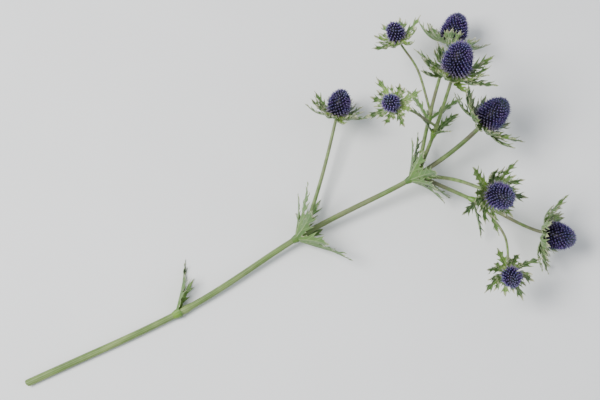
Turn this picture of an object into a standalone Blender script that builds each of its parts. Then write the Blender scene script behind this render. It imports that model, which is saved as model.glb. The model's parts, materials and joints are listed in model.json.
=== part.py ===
"""Sea holly stem: one cut, branching stem lying on a flat surface.

The stem runs along +X from its cut end to its flower heads, +Z is up and z = 0 is the surface.
The origin is under the middle of the whole stem. Each flower head is a dense dome of pointed
florets over a whorl of spiny, toothed bracts, and leaves clasp the stem below each fork.
"""

import itertools
import math
import random

import bmesh
import bpy
import numpy as np
from mathutils import Matrix, Vector
from mathutils.bvhtree import BVHTree

MM = 0.001

# Driving dimensions of the stem
STEM_RADIUS_AT_CUT = 3.3 * MM
STEM_RADIUS_AT_HEAD = 2.0 * MM
BRANCH_RADIUS = 1.9 * MM
BRANCH_RADIUS_AT_HEAD = 1.4 * MM
TWIG_RADIUS = 1.25 * MM
TWIG_RADIUS_AT_HEAD = 1.0 * MM
FORK_SWELLING = 0.30
FORK_SWELLING_LENGTH = 5 * MM
CUT_SLANT = math.radians(32)
CUT_AT = 4 * MM
SMOOTH_ANGLE = math.radians(40)
GAP = 0.3 * MM

# Driving dimensions of a full-size flower head and of what grows round it
HEAD_RADIUS = 14 * MM
HEAD_HEIGHT = 30 * MM
HEAD_LOWEST_DIRECTION = -0.62
SPIKE_AT_TOP = 3.2 * MM
SPIKE_AT_BASE = 5.6 * MM
RECEPTACLE_RADIUS = 5.6 * MM
RECEPTACLE_THICKNESS = 2.6 * MM
BRACT_LENGTH = 41 * MM
BLADE_THICKNESS = 0.7 * MM
BLADE_LEVEL_SHARE = 0.2
BLADE_STEPS = 32
BLADE_CLEARANCE = 0.6 * MM
SISTER_CLEARANCE = 0.3 * MM
DEEPEST_PRESS = 16 * MM
GOLDEN_ANGLE = math.pi * (3 - math.sqrt(5))

# Growth axes: points that each one passes through, in millimetres from the cut end, with the
# way that its tip faces, its radii, and the distance along it to a fork
AXES = {
    "main": dict(
        through=[(0, 0, 3.1), (158, -7, 4.8), (285, 3, 12), (400, 0, 27), (470, 9, 50)],
        faces=(0.80, 0.16, 0.58), radii=(STEM_RADIUS_AT_CUT, STEM_RADIUS_AT_HEAD), forks=[1, 2, 3]),
    "left": dict(
        through=[(400, 0, 27), (440, 47, 27), (488, 96, 27)],
        faces=(0.70, 0.66, 0.27), radii=(BRANCH_RADIUS, BRANCH_RADIUS_AT_HEAD), forks=[1]),
    "right": dict(
        through=[(400, 0, 27), (438, -50, 26), (474, -100, 27)],
        faces=(0.66, -0.70, 0.27), radii=(BRANCH_RADIUS, BRANCH_RADIUS_AT_HEAD), forks=[1]),
    "upper_left": dict(
        through=[(400, 0, 27), (430, 24, 62), (458, 50, 100)],
        faces=(0.46, 0.42, 0.78), radii=(BRANCH_RADIUS, BRANCH_RADIUS_AT_HEAD), forks=[1]),
    "upper_right": dict(
        through=[(400, 0, 27), (422, -26, 56), (438, -56, 82)],
        faces=(0.22, -0.62, 0.75), radii=(BRANCH_RADIUS, BRANCH_RADIUS_AT_HEAD), forks=[]),
    "low": dict(
        through=[(285, 3, 12), (326, 44, 16), (362, 84, 28)],
        faces=(0.52, 0.56, 0.64), radii=(BRANCH_RADIUS, BRANCH_RADIUS_AT_HEAD), forks=[]),
    "left_twig": dict(
        through=[(440, 47, 27), (446, 84, 42), (440, 112, 62)],
        faces=(-0.10, 0.58, 0.80), radii=(TWIG_RADIUS, TWIG_RADIUS_AT_HEAD), forks=[]),
    "right_twig": dict(
        through=[(438, -50, 26), (440, -88, 34), (424, -120, 50)],
        faces=(-0.25, -0.62, 0.74), radii=(TWIG_RADIUS, TWIG_RADIUS_AT_HEAD), forks=[]),
    "upper_twig": dict(
        through=[(430, 24, 62), (412, 38, 92), (394, 44, 120)],
        faces=(-0.36, 0.10, 0.92), radii=(TWIG_RADIUS, TWIG_RADIUS_AT_HEAD), forks=[]),
}

# Flower heads: the axis that each one ends, its size against a full head, its florets and bracts
HEADS = [
    dict(axis="main", size=1.00, florets=104, bracts=12, turn=10),
    dict(axis="left", size=0.95, florets=96, bracts=10, turn=35),
    dict(axis="right", size=0.93, florets=94, bracts=11, turn=5),
    dict(axis="upper_left", size=1.02, florets=104, bracts=12, turn=20),
    dict(axis="upper_right", size=0.86, florets=82, bracts=10, turn=0),
    dict(axis="low", size=0.80, florets=78, bracts=10, turn=15),
    dict(axis="left_twig", size=0.60, florets=52, bracts=8, turn=0),
    dict(axis="right_twig", size=0.64, florets=54, bracts=8, turn=25),
    dict(axis="upper_twig", size=0.56, florets=48, bracts=8, turn=10),
]

# Leaf whorls: the fork that each one sits below, by axis and point, with its leaves' compass turns
WHORLS = [
    dict(name="leaf_stem", axis="main", point=1, length=50 * MM, lobes=True, turns=[262]),
    dict(name="leaves_lower", axis="main", point=2, length=54 * MM, lobes=True, turns=[75, 205, 320]),
    dict(name="leaves_upper", axis="main", point=3, length=48 * MM, lobes=True, turns=[20, 140, 250]),
    dict(name="leaves_left", axis="left", point=1, length=34 * MM, lobes=False, turns=[60, 180, 300]),
    dict(name="leaves_right", axis="right", point=1, length=34 * MM, lobes=False, turns=[0, 120, 240]),
    dict(name="leaves_upper_left", axis="upper_left", point=1, length=32 * MM, lobes=False,
         turns=[30, 150, 270]),
]
COLLAR_HEIGHT = 5 * MM
COLLAR_WALL = 0.8 * MM
COLLAR_BELOW_FORK = 7 * MM
COLLAR_PLAY = 0.55 * MM


def unit(v):
    """The vector at length 1."""
    v = np.asarray(v, float)
    return v / np.linalg.norm(v)


def grow_axis(spec):
    """A smooth centreline through the axis's points, with the arc length at each point and fork."""
    through = np.array(spec["through"], float) * MM
    steps = np.linalg.norm(np.diff(through, axis=0), axis=1)
    tangents = np.gradient(through, axis=0)
    tangents[0] = through[1] - through[0]
    tangents[-1] = unit(spec["faces"]) * steps[-1]
    points = []
    marks = [0]
    for i, step in enumerate(steps):
        count = max(8, int(step / MM))
        t = np.linspace(0, 1, count, endpoint=False)[:, None]
        points.append((2 * t**3 - 3 * t**2 + 1) * through[i] + (t**3 - 2 * t**2 + t) * tangents[i]
                      + (3 * t**2 - 2 * t**3) * through[i + 1] + (t**3 - t**2) * tangents[i + 1])
        marks.append(marks[-1] + count)
    points = np.vstack([*points, through[-1:]])
    along = np.concatenate([[0], np.cumsum(np.linalg.norm(np.diff(points, axis=0), axis=1))])
    return dict(points=points, along=along, marks=along[marks], tip=points[-1], faces=unit(spec["faces"]),
                radii=spec["radii"], forks=[along[marks[k]] for k in spec["forks"]])


def at(axis, s):
    """The point at arc length s on an axis."""
    return np.array([np.interp(s, axis["along"], axis["points"][:, k]) for k in range(3)])


def heading(axis, s):
    """The direction of growth at arc length s."""
    return unit(at(axis, s + MM) - at(axis, s - MM))


def radius_at(axis, s):
    """The stem's radius at arc length s: a taper with a swelling at each fork."""
    start, end = axis["radii"]
    radius = start + (end - start) * s / axis["along"][-1]
    swell = sum(math.exp(-((s - fork) / FORK_SWELLING_LENGTH) ** 2) for fork in axis["forks"])
    return radius * (1 + FORK_SWELLING * swell)


def side_frame(axis_dir, turn):
    """The radial direction at a compass turn round axis_dir, measured from the side that faces up."""
    up = np.array([0, 0, 1.0])
    top = up - axis_dir * (up @ axis_dir)
    top = unit(top if np.linalg.norm(top) > 0.05 else np.array([-1.0, 0, 0]))
    side = np.cross(axis_dir, top)
    return math.cos(turn) * top + math.sin(turn) * side


def blade_points(blade, s, u):
    """Points of a blade's middle surface, pressed flat where they reach the surface.

    s and u are the distances along the blade and across it. The blade leaves its base at lean_base from
    the stem's direction and bends to lean_tip, is folded along its midrib and turns by twist.
    """
    share = np.linspace(0, 1, BLADE_STEPS + 1)
    rising = np.clip((share - BLADE_LEVEL_SHARE) / (1 - BLADE_LEVEL_SHARE), 0, 1)
    lean = blade["lean_base"] + (blade["lean_tip"] - blade["lean_base"]) * np.sin(rising * math.pi / 2)
    middle = (lean[:-1] + lean[1:]) / 2
    step = blade["length"] / BLADE_STEPS
    rise = np.interp(s, share * blade["length"], np.concatenate([[0], np.cumsum(np.cos(middle) * step)]))
    out = np.interp(s, share * blade["length"], np.concatenate([[0], np.cumsum(np.sin(middle) * step)]))
    lean = np.interp(s, share * blade["length"], lean)[:, None]
    twist = blade["twist"] * (s / blade["length"])[:, None]
    u = u[:, None]
    stem, radial = blade["stem"], blade["radial"]
    across = np.cross(radial, stem)
    upper = stem * np.sin(lean) - radial * np.cos(lean)
    sideways = across * np.cos(twist) + upper * np.sin(twist)
    upper = upper * np.cos(twist) - across * np.sin(twist)
    points = blade["origin"] + stem * rise[:, None] + radial * out[:, None]
    points = points + sideways * u * math.cos(blade["fold"]) + upper * np.abs(u) * math.sin(blade["fold"])
    points[:, 2] = np.maximum(points[:, 2], BLADE_THICKNESS / 2)
    return points


def tip_height(blade):
    """The height of a blade's tip if no surface were there."""
    lean = (blade["lean_base"] + blade["lean_tip"]) / 2
    reach = blade["stem"] * math.cos(lean) + blade["radial"] * math.sin(lean)
    return (blade["origin"] + reach * blade["length"])[2]


def outline(blade, side):
    """A blade's rib stations and one margin, as distances along and across: lobes that point forward."""
    length, wide, pairs = blade["length"], blade["wide"], blade["pairs"]
    first, last = 0.22, 0.76
    notches = [first + (last - first) * k / pairs for k in range(pairs + 1)]
    rib = [0.0, *notches, 1.0]
    margin = [(0.0, blade["base"])] + [(n, wide * (1.15 - 0.5 * n)) for n in notches]
    lobes = []
    for k in range(pairs):
        reach = blade["lobe"] * (1.0 - 0.40 * (k + 0.5) / pairs)
        lobes.append((notches[k + 1] + 0.09 + blade["slip"] * side, wide + reach))
    return ([r * length for r in rib], [(n * length, side * u) for n, u in margin],
            [(n * length, side * u) for n, u in lobes])


def blade_surface(blade, grow=0.0, from_station=0):
    """A blade's middle surface as points and triangles, larger by grow, from one of its stations on."""
    blade = dict(blade, length=blade["length"] + grow, wide=blade["wide"] + grow / 2,
                 lobe=blade["lobe"] + grow)
    rib = outline(blade, 1)[0]
    last = len(rib) - 2
    flat = [(s, 0.0) for s in rib]
    faces = []
    for side in (1, -1):
        _, margin, lobes = outline(blade, side)
        rim = len(flat)
        tip = rim + len(margin) - 1
        flat += margin + lobes
        half = [(last, rim + last, last + 1)]
        for k in range(from_station, last):
            half += [(k, rim + k, rim + k + 1), (k, rim + k + 1, k + 1)]
            if k > 0:
                half.append((rim + k, tip + k, rim + k + 1))
        faces += half if side > 0 else [face[::-1] for face in half]
    flat = np.array(flat)
    return blade_points(blade, flat[:, 0], flat[:, 1]), faces


def loft(centres, directions, radii, sides=10):
    """Rings of points round the centres, joined to a closed tube."""
    points = []
    faces = []
    for centre, way, radius in zip(centres, directions, radii):
        for k in range(sides):
            points.append(centre + side_frame(way, 2 * math.pi * k / sides) * radius)
    for ring in range(len(points) // sides - 1):
        for k in range(sides):
            low, high = ring * sides + k, ring * sides + (k + 1) % sides
            faces.append((low, high, high + sides, low + sides))
    faces += [tuple(range(sides))[::-1], tuple(range(len(points) - sides, len(points)))]
    return points, faces


class Room:
    """What already stands round a new blade, as surfaces that it may not cross."""

    def __init__(self):
        self.solids = []

    def add(self, owner, surface):
        """Keeps a surface for the node that owns it."""
        points = np.array(surface[0])
        self.solids.append((owner, BVHTree.FromPolygons([Vector(p) for p in points], surface[1]),
                            points.min(axis=0), points.max(axis=0)))

    def is_clear(self, surface, owner, own):
        """Whether a surface crosses nothing: of the owner's solids if own is true, else of all the others."""
        points, faces = surface
        low, high = points.min(axis=0), points.max(axis=0)
        tree = BVHTree.FromPolygons([Vector(p) for p in points], faces)
        for name, solid, least, most in self.solids:
            if (name == owner) != own or (low > most).any() or (high < least).any():
                continue
            if tree.overlap(solid):
                return False
        return True


def shell(blade, clearance, grow, from_station=0):
    """A closed surface round a blade at a clearance, from one of its stations on."""
    points, faces = blade_surface(blade, grow, from_station)
    normals = np.zeros_like(points)
    edges = {}
    for face in faces:
        a, b, c = (points[k] for k in face)
        normals[list(face)] += np.cross(b - a, c - a)
        for one, two in zip(face, face[1:] + face[:1]):
            edges[(one, two)] = edges.get((one, two), 0) + 1
    size = np.linalg.norm(normals, axis=1, keepdims=True)
    normals = normals / np.where(size > 0, size, 1) * (BLADE_THICKNESS / 2 + clearance)
    count = len(points)
    rim = [(one, two, two + count, one + count) for one, two in edges if (two, one) not in edges]
    under = [tuple(k + count for k in face[::-1]) for face in faces]
    return np.vstack([points + normals, points - normals]), faces + under + rim


# A blade tries each bend at its full length, and then at shorter ones, until it grows clear.
# A bend is a change of lean and a turn round the stem, in degrees.
BENDS = [(0, 0), (-8, 0), (8, 0), (0, 6), (0, -6), (-16, 0), (16, 0), (-8, 8), (-8, -8), (8, 8), (8, -8),
         (-24, 0), (-24, 12), (-24, -12), (-36, 0)]
LENGTH_SHARES = [1.0, 0.9, 0.8, 0.68, 0.55]


def place_blade(room, owner, spec):
    """The blade at the first try that grows clear and isn't pressed down too far, or None."""
    for share, (lean, turn) in itertools.product(LENGTH_SHARES, BENDS):
        blade = dict(spec)
        blade["radial"] = side_frame(spec["stem"], spec["turn"] + math.radians(turn))
        blade["origin"] = spec["centre"] + blade["radial"] * spec["start"]
        blade["lean_tip"] = max(spec["lean_tip"] + math.radians(lean), math.radians(6))
        for size in ("length", "wide", "lobe"):
            blade[size] = spec[size] * share
        if tip_height(blade) < -DEEPEST_PRESS:
            continue
        if (room.is_clear(shell(blade, BLADE_CLEARANCE, 1.2 * MM, spec["free_from"]), owner, False)
                and room.is_clear(shell(blade, SISTER_CLEARANCE, 0.4 * MM, 1), owner, True)):
            room.add(owner, blade_surface(blade, 0.0, 1))
            return blade
    return None


def plan_bracts(room, head, number):
    """The whorl of bracts under a flower head: long and short ones in turn."""
    draw = random.Random(100 + number)
    size = head["size"]
    blades = []
    for k in range(head["bracts"]):
        short = k % 2
        spec = dict(
            stem=head["faces"], centre=head["centre"], start=RECEPTACLE_RADIUS * size * 0.66,
            turn=math.radians(head["turn"]) + 2 * math.pi * (k + draw.uniform(-0.12, 0.12)) / head["bracts"],
            length=BRACT_LENGTH * size**0.75 * (0.78 if short else 1.0) * draw.uniform(0.92, 1.08),
            lean_base=math.radians(96),
            lean_tip=math.radians(draw.uniform(30, 46) if short else draw.uniform(44, 66)),
            base=0.95 * MM * size**0.6, wide=1.7 * MM * size**0.5, lobe=5.0 * MM * size**0.6,
            pairs=2 if short or size < 0.7 else 3, free_from=0, fold=math.radians(draw.uniform(14, 26)),
            twist=math.radians(draw.uniform(-25, 25)), slip=draw.uniform(-0.02, 0.02))
        blade = place_blade(room, head["owner"], spec)
        if blade:
            blades.append(blade)
    return blades


def plan_whorl(room, whorl, number):
    """The leaves that clasp the stem below a fork, each one blade or three that share a base."""
    draw = random.Random(300 + number)
    blades = []
    for turn in whorl["turns"]:
        parts = [(0, 1.0, 3)]
        if whorl["lobes"]:
            parts += [(-30, 0.74, 2), (30, 0.74, 2)]
        lean = draw.uniform(52, 70)
        for offset, share, pairs in parts:
            spec = dict(
                stem=whorl["stem"], centre=whorl["centre"], start=whorl["bore"],
                turn=math.radians(turn + offset), length=whorl["length"] * share * draw.uniform(0.95, 1.05),
                lean_base=math.radians(50), lean_tip=math.radians(lean + draw.uniform(-4, 8)), base=1.5 * MM,
                wide=(2.3 if whorl["lobes"] else 1.7) * MM, lobe=(6.0 if whorl["lobes"] else 4.4) * MM,
                pairs=pairs, free_from=1, fold=math.radians(draw.uniform(8, 18)),
                twist=math.radians(draw.uniform(-15, 15)), slip=draw.uniform(-0.02, 0.02))
            blade = place_blade(room, whorl["name"], spec)
            if blade:
                blades.append(blade)
    return blades


def head_surface(head):
    """The surface that the tips of a head's florets reach, as a loft."""
    size, faces = head["size"], head["faces"]
    rings = [(0.0, 0.0), (HEAD_RADIUS * 0.5 * size, 0.0)]
    for z in np.linspace(HEAD_LOWEST_DIRECTION + 0.03, 0.999, 9):
        tip = spike_tip(Vector((math.sqrt(1 - z * z), 0, z)), size)
        rings.append((tip.x, tip.z))
    centres = [head["base"] + faces * up for _, up in rings]
    return loft(centres, [faces] * len(rings), [max(out, 0.2 * MM) for out, _ in rings])


def plan_plant():
    """Every axis, flower head and leaf whorl with its blades, in metres from the cut end."""
    axes = {name: grow_axis(spec) for name, spec in AXES.items()}
    room = Room()
    for axis in axes.values():
        stations = np.linspace(0, axis["along"][-1], max(8, int(axis["along"][-1] / (6 * MM))))
        room.add("stem", loft([at(axis, s) for s in stations], [heading(axis, s) for s in stations],
                              [radius_at(axis, s) for s in stations]))
    heads = []
    for spec in HEADS:
        axis = axes[spec["axis"]]
        faces, size = axis["faces"], spec["size"]
        thick = RECEPTACLE_THICKNESS * size**0.5
        disc = axis["tip"] + faces * GAP
        head = dict(spec, faces=faces, owner="bracts_" + spec["axis"], thick=thick,
                    centre=disc + faces * thick / 2, base=disc + faces * (thick + GAP))
        heads.append(head)
        room.add("head_" + spec["axis"], head_surface(head))
        room.add(head["owner"], loft([disc, disc + faces * thick], [faces, faces],
                                     [RECEPTACLE_RADIUS * size] * 2))
    whorls = []
    for spec in WHORLS:
        axis = axes[spec["axis"]]
        s = axis["marks"][spec["point"]] - COLLAR_BELOW_FORK
        stem, centre, bore = heading(axis, s), at(axis, s), radius_at(axis, s) + COLLAR_PLAY
        whorls.append(dict(spec, stem=stem, centre=centre, bore=bore))
        reach = stem * COLLAR_HEIGHT / 2
        room.add(spec["name"], loft([centre - reach, centre + reach], [stem, stem],
                                    [bore + COLLAR_WALL] * 2))
    for number, head in enumerate(heads):
        head["blades"] = plan_bracts(room, head, number)
    for number, whorl in enumerate(whorls):
        whorl["blades"] = plan_whorl(room, whorl, number)
    return axes, heads, whorls


def clear_scene():
    """Removes whatever the file holds."""
    for obj in list(bpy.data.objects):
        bpy.data.objects.remove(obj)


def material(name, colour, roughness):
    """A Principled BSDF in one colour."""
    made = bpy.data.materials.new(name)
    made.use_nodes = True
    shader = made.node_tree.nodes["Principled BSDF"]
    shader.inputs["Base Color"].default_value = (*colour, 1)
    shader.inputs["Roughness"].default_value = roughness
    shader.inputs["Metallic"].default_value = 0.0
    return made


def add_object(name, data, collection):
    """An object for the data, in the collection."""
    obj = bpy.data.objects.new(name, data)
    collection.objects.link(obj)
    return obj


def mesh_object(name, bm, collection):
    """An object for the bmesh, which is freed."""
    bmesh.ops.recalc_face_normals(bm, faces=bm.faces)
    mesh = bpy.data.meshes.new(name)
    bm.to_mesh(mesh)
    bm.free()
    return add_object(name, mesh, collection)


def placed(origin, z_axis):
    """The matrix that stands a piece's own +Z along z_axis at the origin."""
    turn = Vector(z_axis).to_track_quat("Z", "Y").to_matrix().to_4x4()
    return Matrix.Translation(Vector(origin)) @ turn


def settle(obj, collection):
    """Replaces an object by the mesh that its modifiers or bevel make, with the caps welded."""
    bpy.context.view_layer.update()
    graph = bpy.context.evaluated_depsgraph_get()
    mesh = bpy.data.meshes.new_from_object(obj.evaluated_get(graph))
    name, place = obj.name, obj.matrix_world.copy()
    bpy.data.objects.remove(obj)
    mesh.transform(place)
    bm = bmesh.new()
    bm.from_mesh(mesh)
    bmesh.ops.remove_doubles(bm, verts=bm.verts, dist=1e-6)
    bm.to_mesh(mesh)
    bm.free()
    mesh.name = name
    return add_object(name, mesh, collection)


def boolean(obj, others, operation, collection):
    """Joins to, or cuts from, the object everything in the others collection, which is then emptied."""
    change = obj.modifiers.new(operation.title(), "BOOLEAN")
    change.operation = operation
    change.operand_type = "COLLECTION"
    change.collection = others
    change.solver = "EXACT"
    joined = settle(obj, collection)
    for other in list(others.objects):
        bpy.data.objects.remove(other)
    return joined


def tube(name, axis, spacing, sides, collection):
    """A tapering stem along an axis, as a bevelled curve with filled caps."""
    end = axis["along"][-1]
    stations = set(np.linspace(0, end, max(3, round(end / spacing)) + 1))
    for fork in axis["forks"]:
        near = [fork + step * FORK_SWELLING_LENGTH for step in (-1.6, -0.6, 0, 0.6, 1.6)]
        stations = {s for s in stations if abs(s - fork) > 2.4 * FORK_SWELLING_LENGTH or s in (0, end)}
        stations |= set(near)
    stations = sorted(stations | {end - 2 * MM})
    curve = bpy.data.curves.new(name, "CURVE")
    curve.dimensions = "3D"
    curve.bevel_depth = axis["radii"][0]
    curve.bevel_resolution = (sides - 4) // 2
    curve.use_fill_caps = True
    spline = curve.splines.new("POLY")
    spline.points.add(len(stations) - 1)
    for point, s in zip(spline.points, stations):
        point.co = (*at(axis, s), 1)
        point.radius = radius_at(axis, s) / axis["radii"][0]
    return settle(add_object(name, curve, collection), collection)


def make_stem(axes, collection, tools):
    """The main stem with its branches and twigs in one body, cut on the slant at its lower end."""
    stem = tube("stem", axes["main"], 34 * MM, 10, collection)
    for name in AXES:
        if name != "main":
            tube(name, axes[name], 20 * MM, 8, tools)
    stem = boolean(stem, tools, "UNION", collection)
    bm = bmesh.new()
    bm.from_mesh(stem.data)
    plane = (math.cos(CUT_SLANT), 0, math.sin(CUT_SLANT))
    geometry = bm.verts[:] + bm.edges[:] + bm.faces[:]
    cut = bmesh.ops.bisect_plane(bm, geom=geometry, dist=1e-7, plane_co=(CUT_AT, 0, STEM_RADIUS_AT_CUT),
                                 plane_no=plane, clear_inner=True)
    rim = [e for e in cut["geom_cut"] if isinstance(e, bmesh.types.BMEdge)]
    bmesh.ops.edgeloop_fill(bm, edges=rim)
    for vert in bm.verts:
        vert.co.z = max(vert.co.z, 0.0)
    bm.to_mesh(stem.data)
    bm.free()
    return stem


def golden_directions(count, lowest):
    """Unit directions in a golden-angle spiral from the pole down to z = lowest."""
    found = []
    for i in range(count):
        z = 1 - (1 - lowest) * (i + 0.5) / count
        ring = math.sqrt(1 - z * z)
        found.append(Vector((ring * math.cos(i * GOLDEN_ANGLE), ring * math.sin(i * GOLDEN_ANGLE), z)))
    return found


def on_core(direction, size):
    """The point of a head's inner dome in a direction, from the middle of its flat base."""
    stretch = HEAD_HEIGHT / (1 - HEAD_LOWEST_DIRECTION)
    core_radius = HEAD_RADIUS - 0.5 * (SPIKE_AT_TOP + SPIKE_AT_BASE)
    core_stretch = stretch - SPIKE_AT_TOP * 0.6
    return Vector((direction.x * core_radius, direction.y * core_radius,
                   (direction.z - HEAD_LOWEST_DIRECTION) * core_stretch)) * size


def spike_tip(direction, size):
    """The tip of the floret that grows in a direction: longer and flatter towards the base."""
    down = (1 - direction.z) / (1 - HEAD_LOWEST_DIRECTION)
    length = SPIKE_AT_TOP + (SPIKE_AT_BASE - SPIKE_AT_TOP) * down
    way = Vector((direction.x, direction.y, direction.z * 0.5 + 0.36)).normalized()
    return on_core(direction, size) + way * length * size


def make_head(head, collection):
    """A dome of pointed florets: each one rises from its own cell of a golden-angle spiral."""
    size = head["size"]
    pole = Vector((0, 0, -1))
    spots = [*golden_directions(head["florets"], HEAD_LOWEST_DIRECTION), pole]
    net = bmesh.new()
    for spot in spots:
        net.verts.new(spot)
    bmesh.ops.convex_hull(net, input=net.verts[:])
    net.verts.ensure_lookup_table()
    base_vert = min(net.verts, key=lambda v: v.co.z)
    bm = bmesh.new()
    valley = {}
    for face in net.faces:
        middle = face.calc_center_median().normalized()
        place = on_core(middle, size)
        if base_vert in face.verts:
            across = Vector((place.x, place.y, 0)).normalized()
            place = across * (HEAD_RADIUS * 0.50 * size)
        valley[face] = bm.verts.new(place)
    for vert in net.verts:
        loop = vert.link_loops[0]
        ring = []
        while loop.face not in ring:
            ring.append(loop.face)
            loop = loop.link_loop_prev.link_loop_radial_next
        cell = [valley[face] for face in ring]
        if vert is base_vert:
            bm.faces.new(cell)
            continue
        apex = bm.verts.new(spike_tip(vert.co.normalized(), size))
        for one, two in zip(cell, cell[1:] + cell[:1]):
            bm.faces.new((apex, one, two))
    net.free()
    obj = mesh_object("head_" + head["axis"], bm, collection)
    obj.matrix_world = placed(head["base"], head["faces"])
    return obj


def add_blade(name, blade, collection):
    """A lobed blade, thickened."""
    points, faces = blade_surface(blade)
    mesh = bpy.data.meshes.new(name)
    mesh.from_pydata([tuple(p) for p in points], [], faces)
    obj = add_object(name, mesh, collection)
    thick = obj.modifiers.new("Thickness", "SOLIDIFY")
    thick.thickness = BLADE_THICKNESS
    thick.offset = 0.0
    return obj


def make_bracts(head, collection, tools):
    """A head's receptacle with its whorl of bracts."""
    size = head["size"]
    bm = bmesh.new()
    bmesh.ops.create_cone(bm, cap_ends=True, segments=12, radius1=RECEPTACLE_RADIUS * size * 0.85,
                          radius2=RECEPTACLE_RADIUS * size, depth=head["thick"])
    obj = mesh_object(head["owner"], bm, collection)
    obj.matrix_world = placed(head["centre"], head["faces"])
    for number, blade in enumerate(head["blades"]):
        add_blade(f"blade_{number}", blade, tools)
    return boolean(obj, tools, "UNION", collection)


def make_whorl(whorl, collection, tools):
    """A clasping leaf sheath round the stem with its leaves."""
    bm = bmesh.new()
    bore = whorl["bore"]
    bmesh.ops.create_cone(bm, cap_ends=True, segments=12, radius1=bore + COLLAR_WALL * 0.7,
                          radius2=bore + COLLAR_WALL, depth=COLLAR_HEIGHT)
    obj = mesh_object(whorl["name"], bm, collection)
    obj.matrix_world = placed(whorl["centre"], whorl["stem"])
    for number, blade in enumerate(whorl["blades"]):
        add_blade(f"blade_{number}", blade, tools)
    obj = boolean(obj, tools, "UNION", collection)
    bm = bmesh.new()
    bmesh.ops.create_cone(bm, cap_ends=True, segments=12, radius1=bore, radius2=bore, depth=4 * COLLAR_HEIGHT)
    cutter = mesh_object("sheath_bore", bm, tools)
    cutter.matrix_world = placed(whorl["centre"], whorl["stem"])
    return boolean(obj, tools, "DIFFERENCE", collection)


def centre_footprint(objects):
    """Moves the objects so that the origin is under the middle of the whole stem."""
    bpy.context.view_layer.update()
    points = np.vstack([np.array([obj.matrix_world @ v.co for v in obj.data.vertices]) for obj in objects])
    middle = (points.min(axis=0) + points.max(axis=0)) / 2
    shift = Matrix.Translation((-middle[0], -middle[1], 0))
    for obj in objects:
        obj.matrix_world = shift @ obj.matrix_world


def main():
    clear_scene()
    plant = bpy.data.collections.new("sea_holly_stem")
    tools = bpy.data.collections.new("cutters")
    for collection in (plant, tools):
        bpy.context.scene.collection.children.link(collection)
    axes, heads, whorls = plan_plant()
    green = material("stem_green", (0.16, 0.24, 0.07), 0.5)
    leaf = material("leaf_green", (0.13, 0.24, 0.07), 0.45)
    bract = material("bract_green", (0.17, 0.29, 0.11), 0.45)
    blue = material("floret_blue", (0.055, 0.035, 0.19), 0.5)
    made = [(make_stem(axes, plant, tools), green)]
    for head in heads:
        made.append((make_head(head, plant), blue))
        made.append((make_bracts(head, plant, tools), bract))
    for whorl in whorls:
        made.append((make_whorl(whorl, plant, tools), leaf))
    for obj, finish in made:
        obj.data.materials.clear()
        obj.data.materials.append(finish)
        obj.data.shade_smooth()
        obj.data.set_sharp_from_angle(angle=SMOOTH_ANGLE)
    centre_footprint([obj for obj, _ in made])
    tools.hide_render = True


main()
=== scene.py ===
"""Sea holly stem with its looks: fine flower heads, bracts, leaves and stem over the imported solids.

The stem runs along +X from its cut end to its flower heads, +Z is up and z = 0 is the surface. Every
fine piece grows from the same plan as the solid that it stands for, so it lies where the solid lies.
"""

import itertools
import json
import math
import random

import bmesh
import bpy
import numpy as np
from mathutils import Matrix, Vector
from mathutils.bvhtree import BVHTree
from mathutils.geometry import delaunay_2d_cdt
from mathutils.kdtree import KDTree

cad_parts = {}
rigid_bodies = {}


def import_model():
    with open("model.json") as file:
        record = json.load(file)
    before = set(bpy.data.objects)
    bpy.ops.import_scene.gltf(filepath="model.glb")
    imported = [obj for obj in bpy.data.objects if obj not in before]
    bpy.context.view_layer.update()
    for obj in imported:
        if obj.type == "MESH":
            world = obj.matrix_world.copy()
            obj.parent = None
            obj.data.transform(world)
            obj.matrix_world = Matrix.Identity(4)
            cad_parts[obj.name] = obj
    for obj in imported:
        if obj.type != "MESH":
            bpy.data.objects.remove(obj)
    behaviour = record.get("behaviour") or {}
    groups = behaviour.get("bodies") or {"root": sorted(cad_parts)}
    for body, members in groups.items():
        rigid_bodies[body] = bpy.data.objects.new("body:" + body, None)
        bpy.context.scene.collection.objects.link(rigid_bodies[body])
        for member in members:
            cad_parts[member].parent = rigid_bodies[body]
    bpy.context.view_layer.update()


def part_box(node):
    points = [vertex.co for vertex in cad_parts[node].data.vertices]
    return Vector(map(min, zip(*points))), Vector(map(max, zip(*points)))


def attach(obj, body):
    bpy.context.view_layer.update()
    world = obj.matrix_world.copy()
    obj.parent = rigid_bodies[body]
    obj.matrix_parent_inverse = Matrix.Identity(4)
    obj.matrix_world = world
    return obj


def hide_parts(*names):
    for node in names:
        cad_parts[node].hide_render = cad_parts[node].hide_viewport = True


MM = 0.001

# Driving dimensions of the stem, its radii where it starts and at its head
STEM_RADII = (3.3 * MM, 2.0 * MM)
BRANCH_RADII = (1.9 * MM, 1.4 * MM)
TWIG_RADII = (1.25 * MM, 1.0 * MM)
FORK_SWELLING = 0.30
FORK_SWELLING_LENGTH = 5 * MM
CUT_SLANT = math.radians(32)
CUT_AT = 4 * MM
SMOOTH_ANGLE = math.radians(40)
GAP = 0.3 * MM

# Driving dimensions of a full-size flower head and of what grows round it
HEAD_RADIUS = 14 * MM
HEAD_HEIGHT = 30 * MM
HEAD_LOWEST_DIRECTION = -0.62
SPIKE_AT_TOP = 3.2 * MM
SPIKE_AT_BASE = 5.6 * MM
RECEPTACLE_RADIUS = 5.6 * MM
RECEPTACLE_THICKNESS = 2.6 * MM
BRACT_LENGTH = 41 * MM
BRACT_ROOT_SHARE = 0.66
BLADE_THICKNESS = 0.7 * MM
BLADE_LEVEL_SHARE = 0.2
BLADE_STEPS = 32
BLADE_CLEARANCE = 0.6 * MM
SISTER_CLEARANCE = 0.3 * MM
DEEPEST_PRESS = 16 * MM
GOLDEN_ANGLE = math.pi * (3 - math.sqrt(5))

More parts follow.
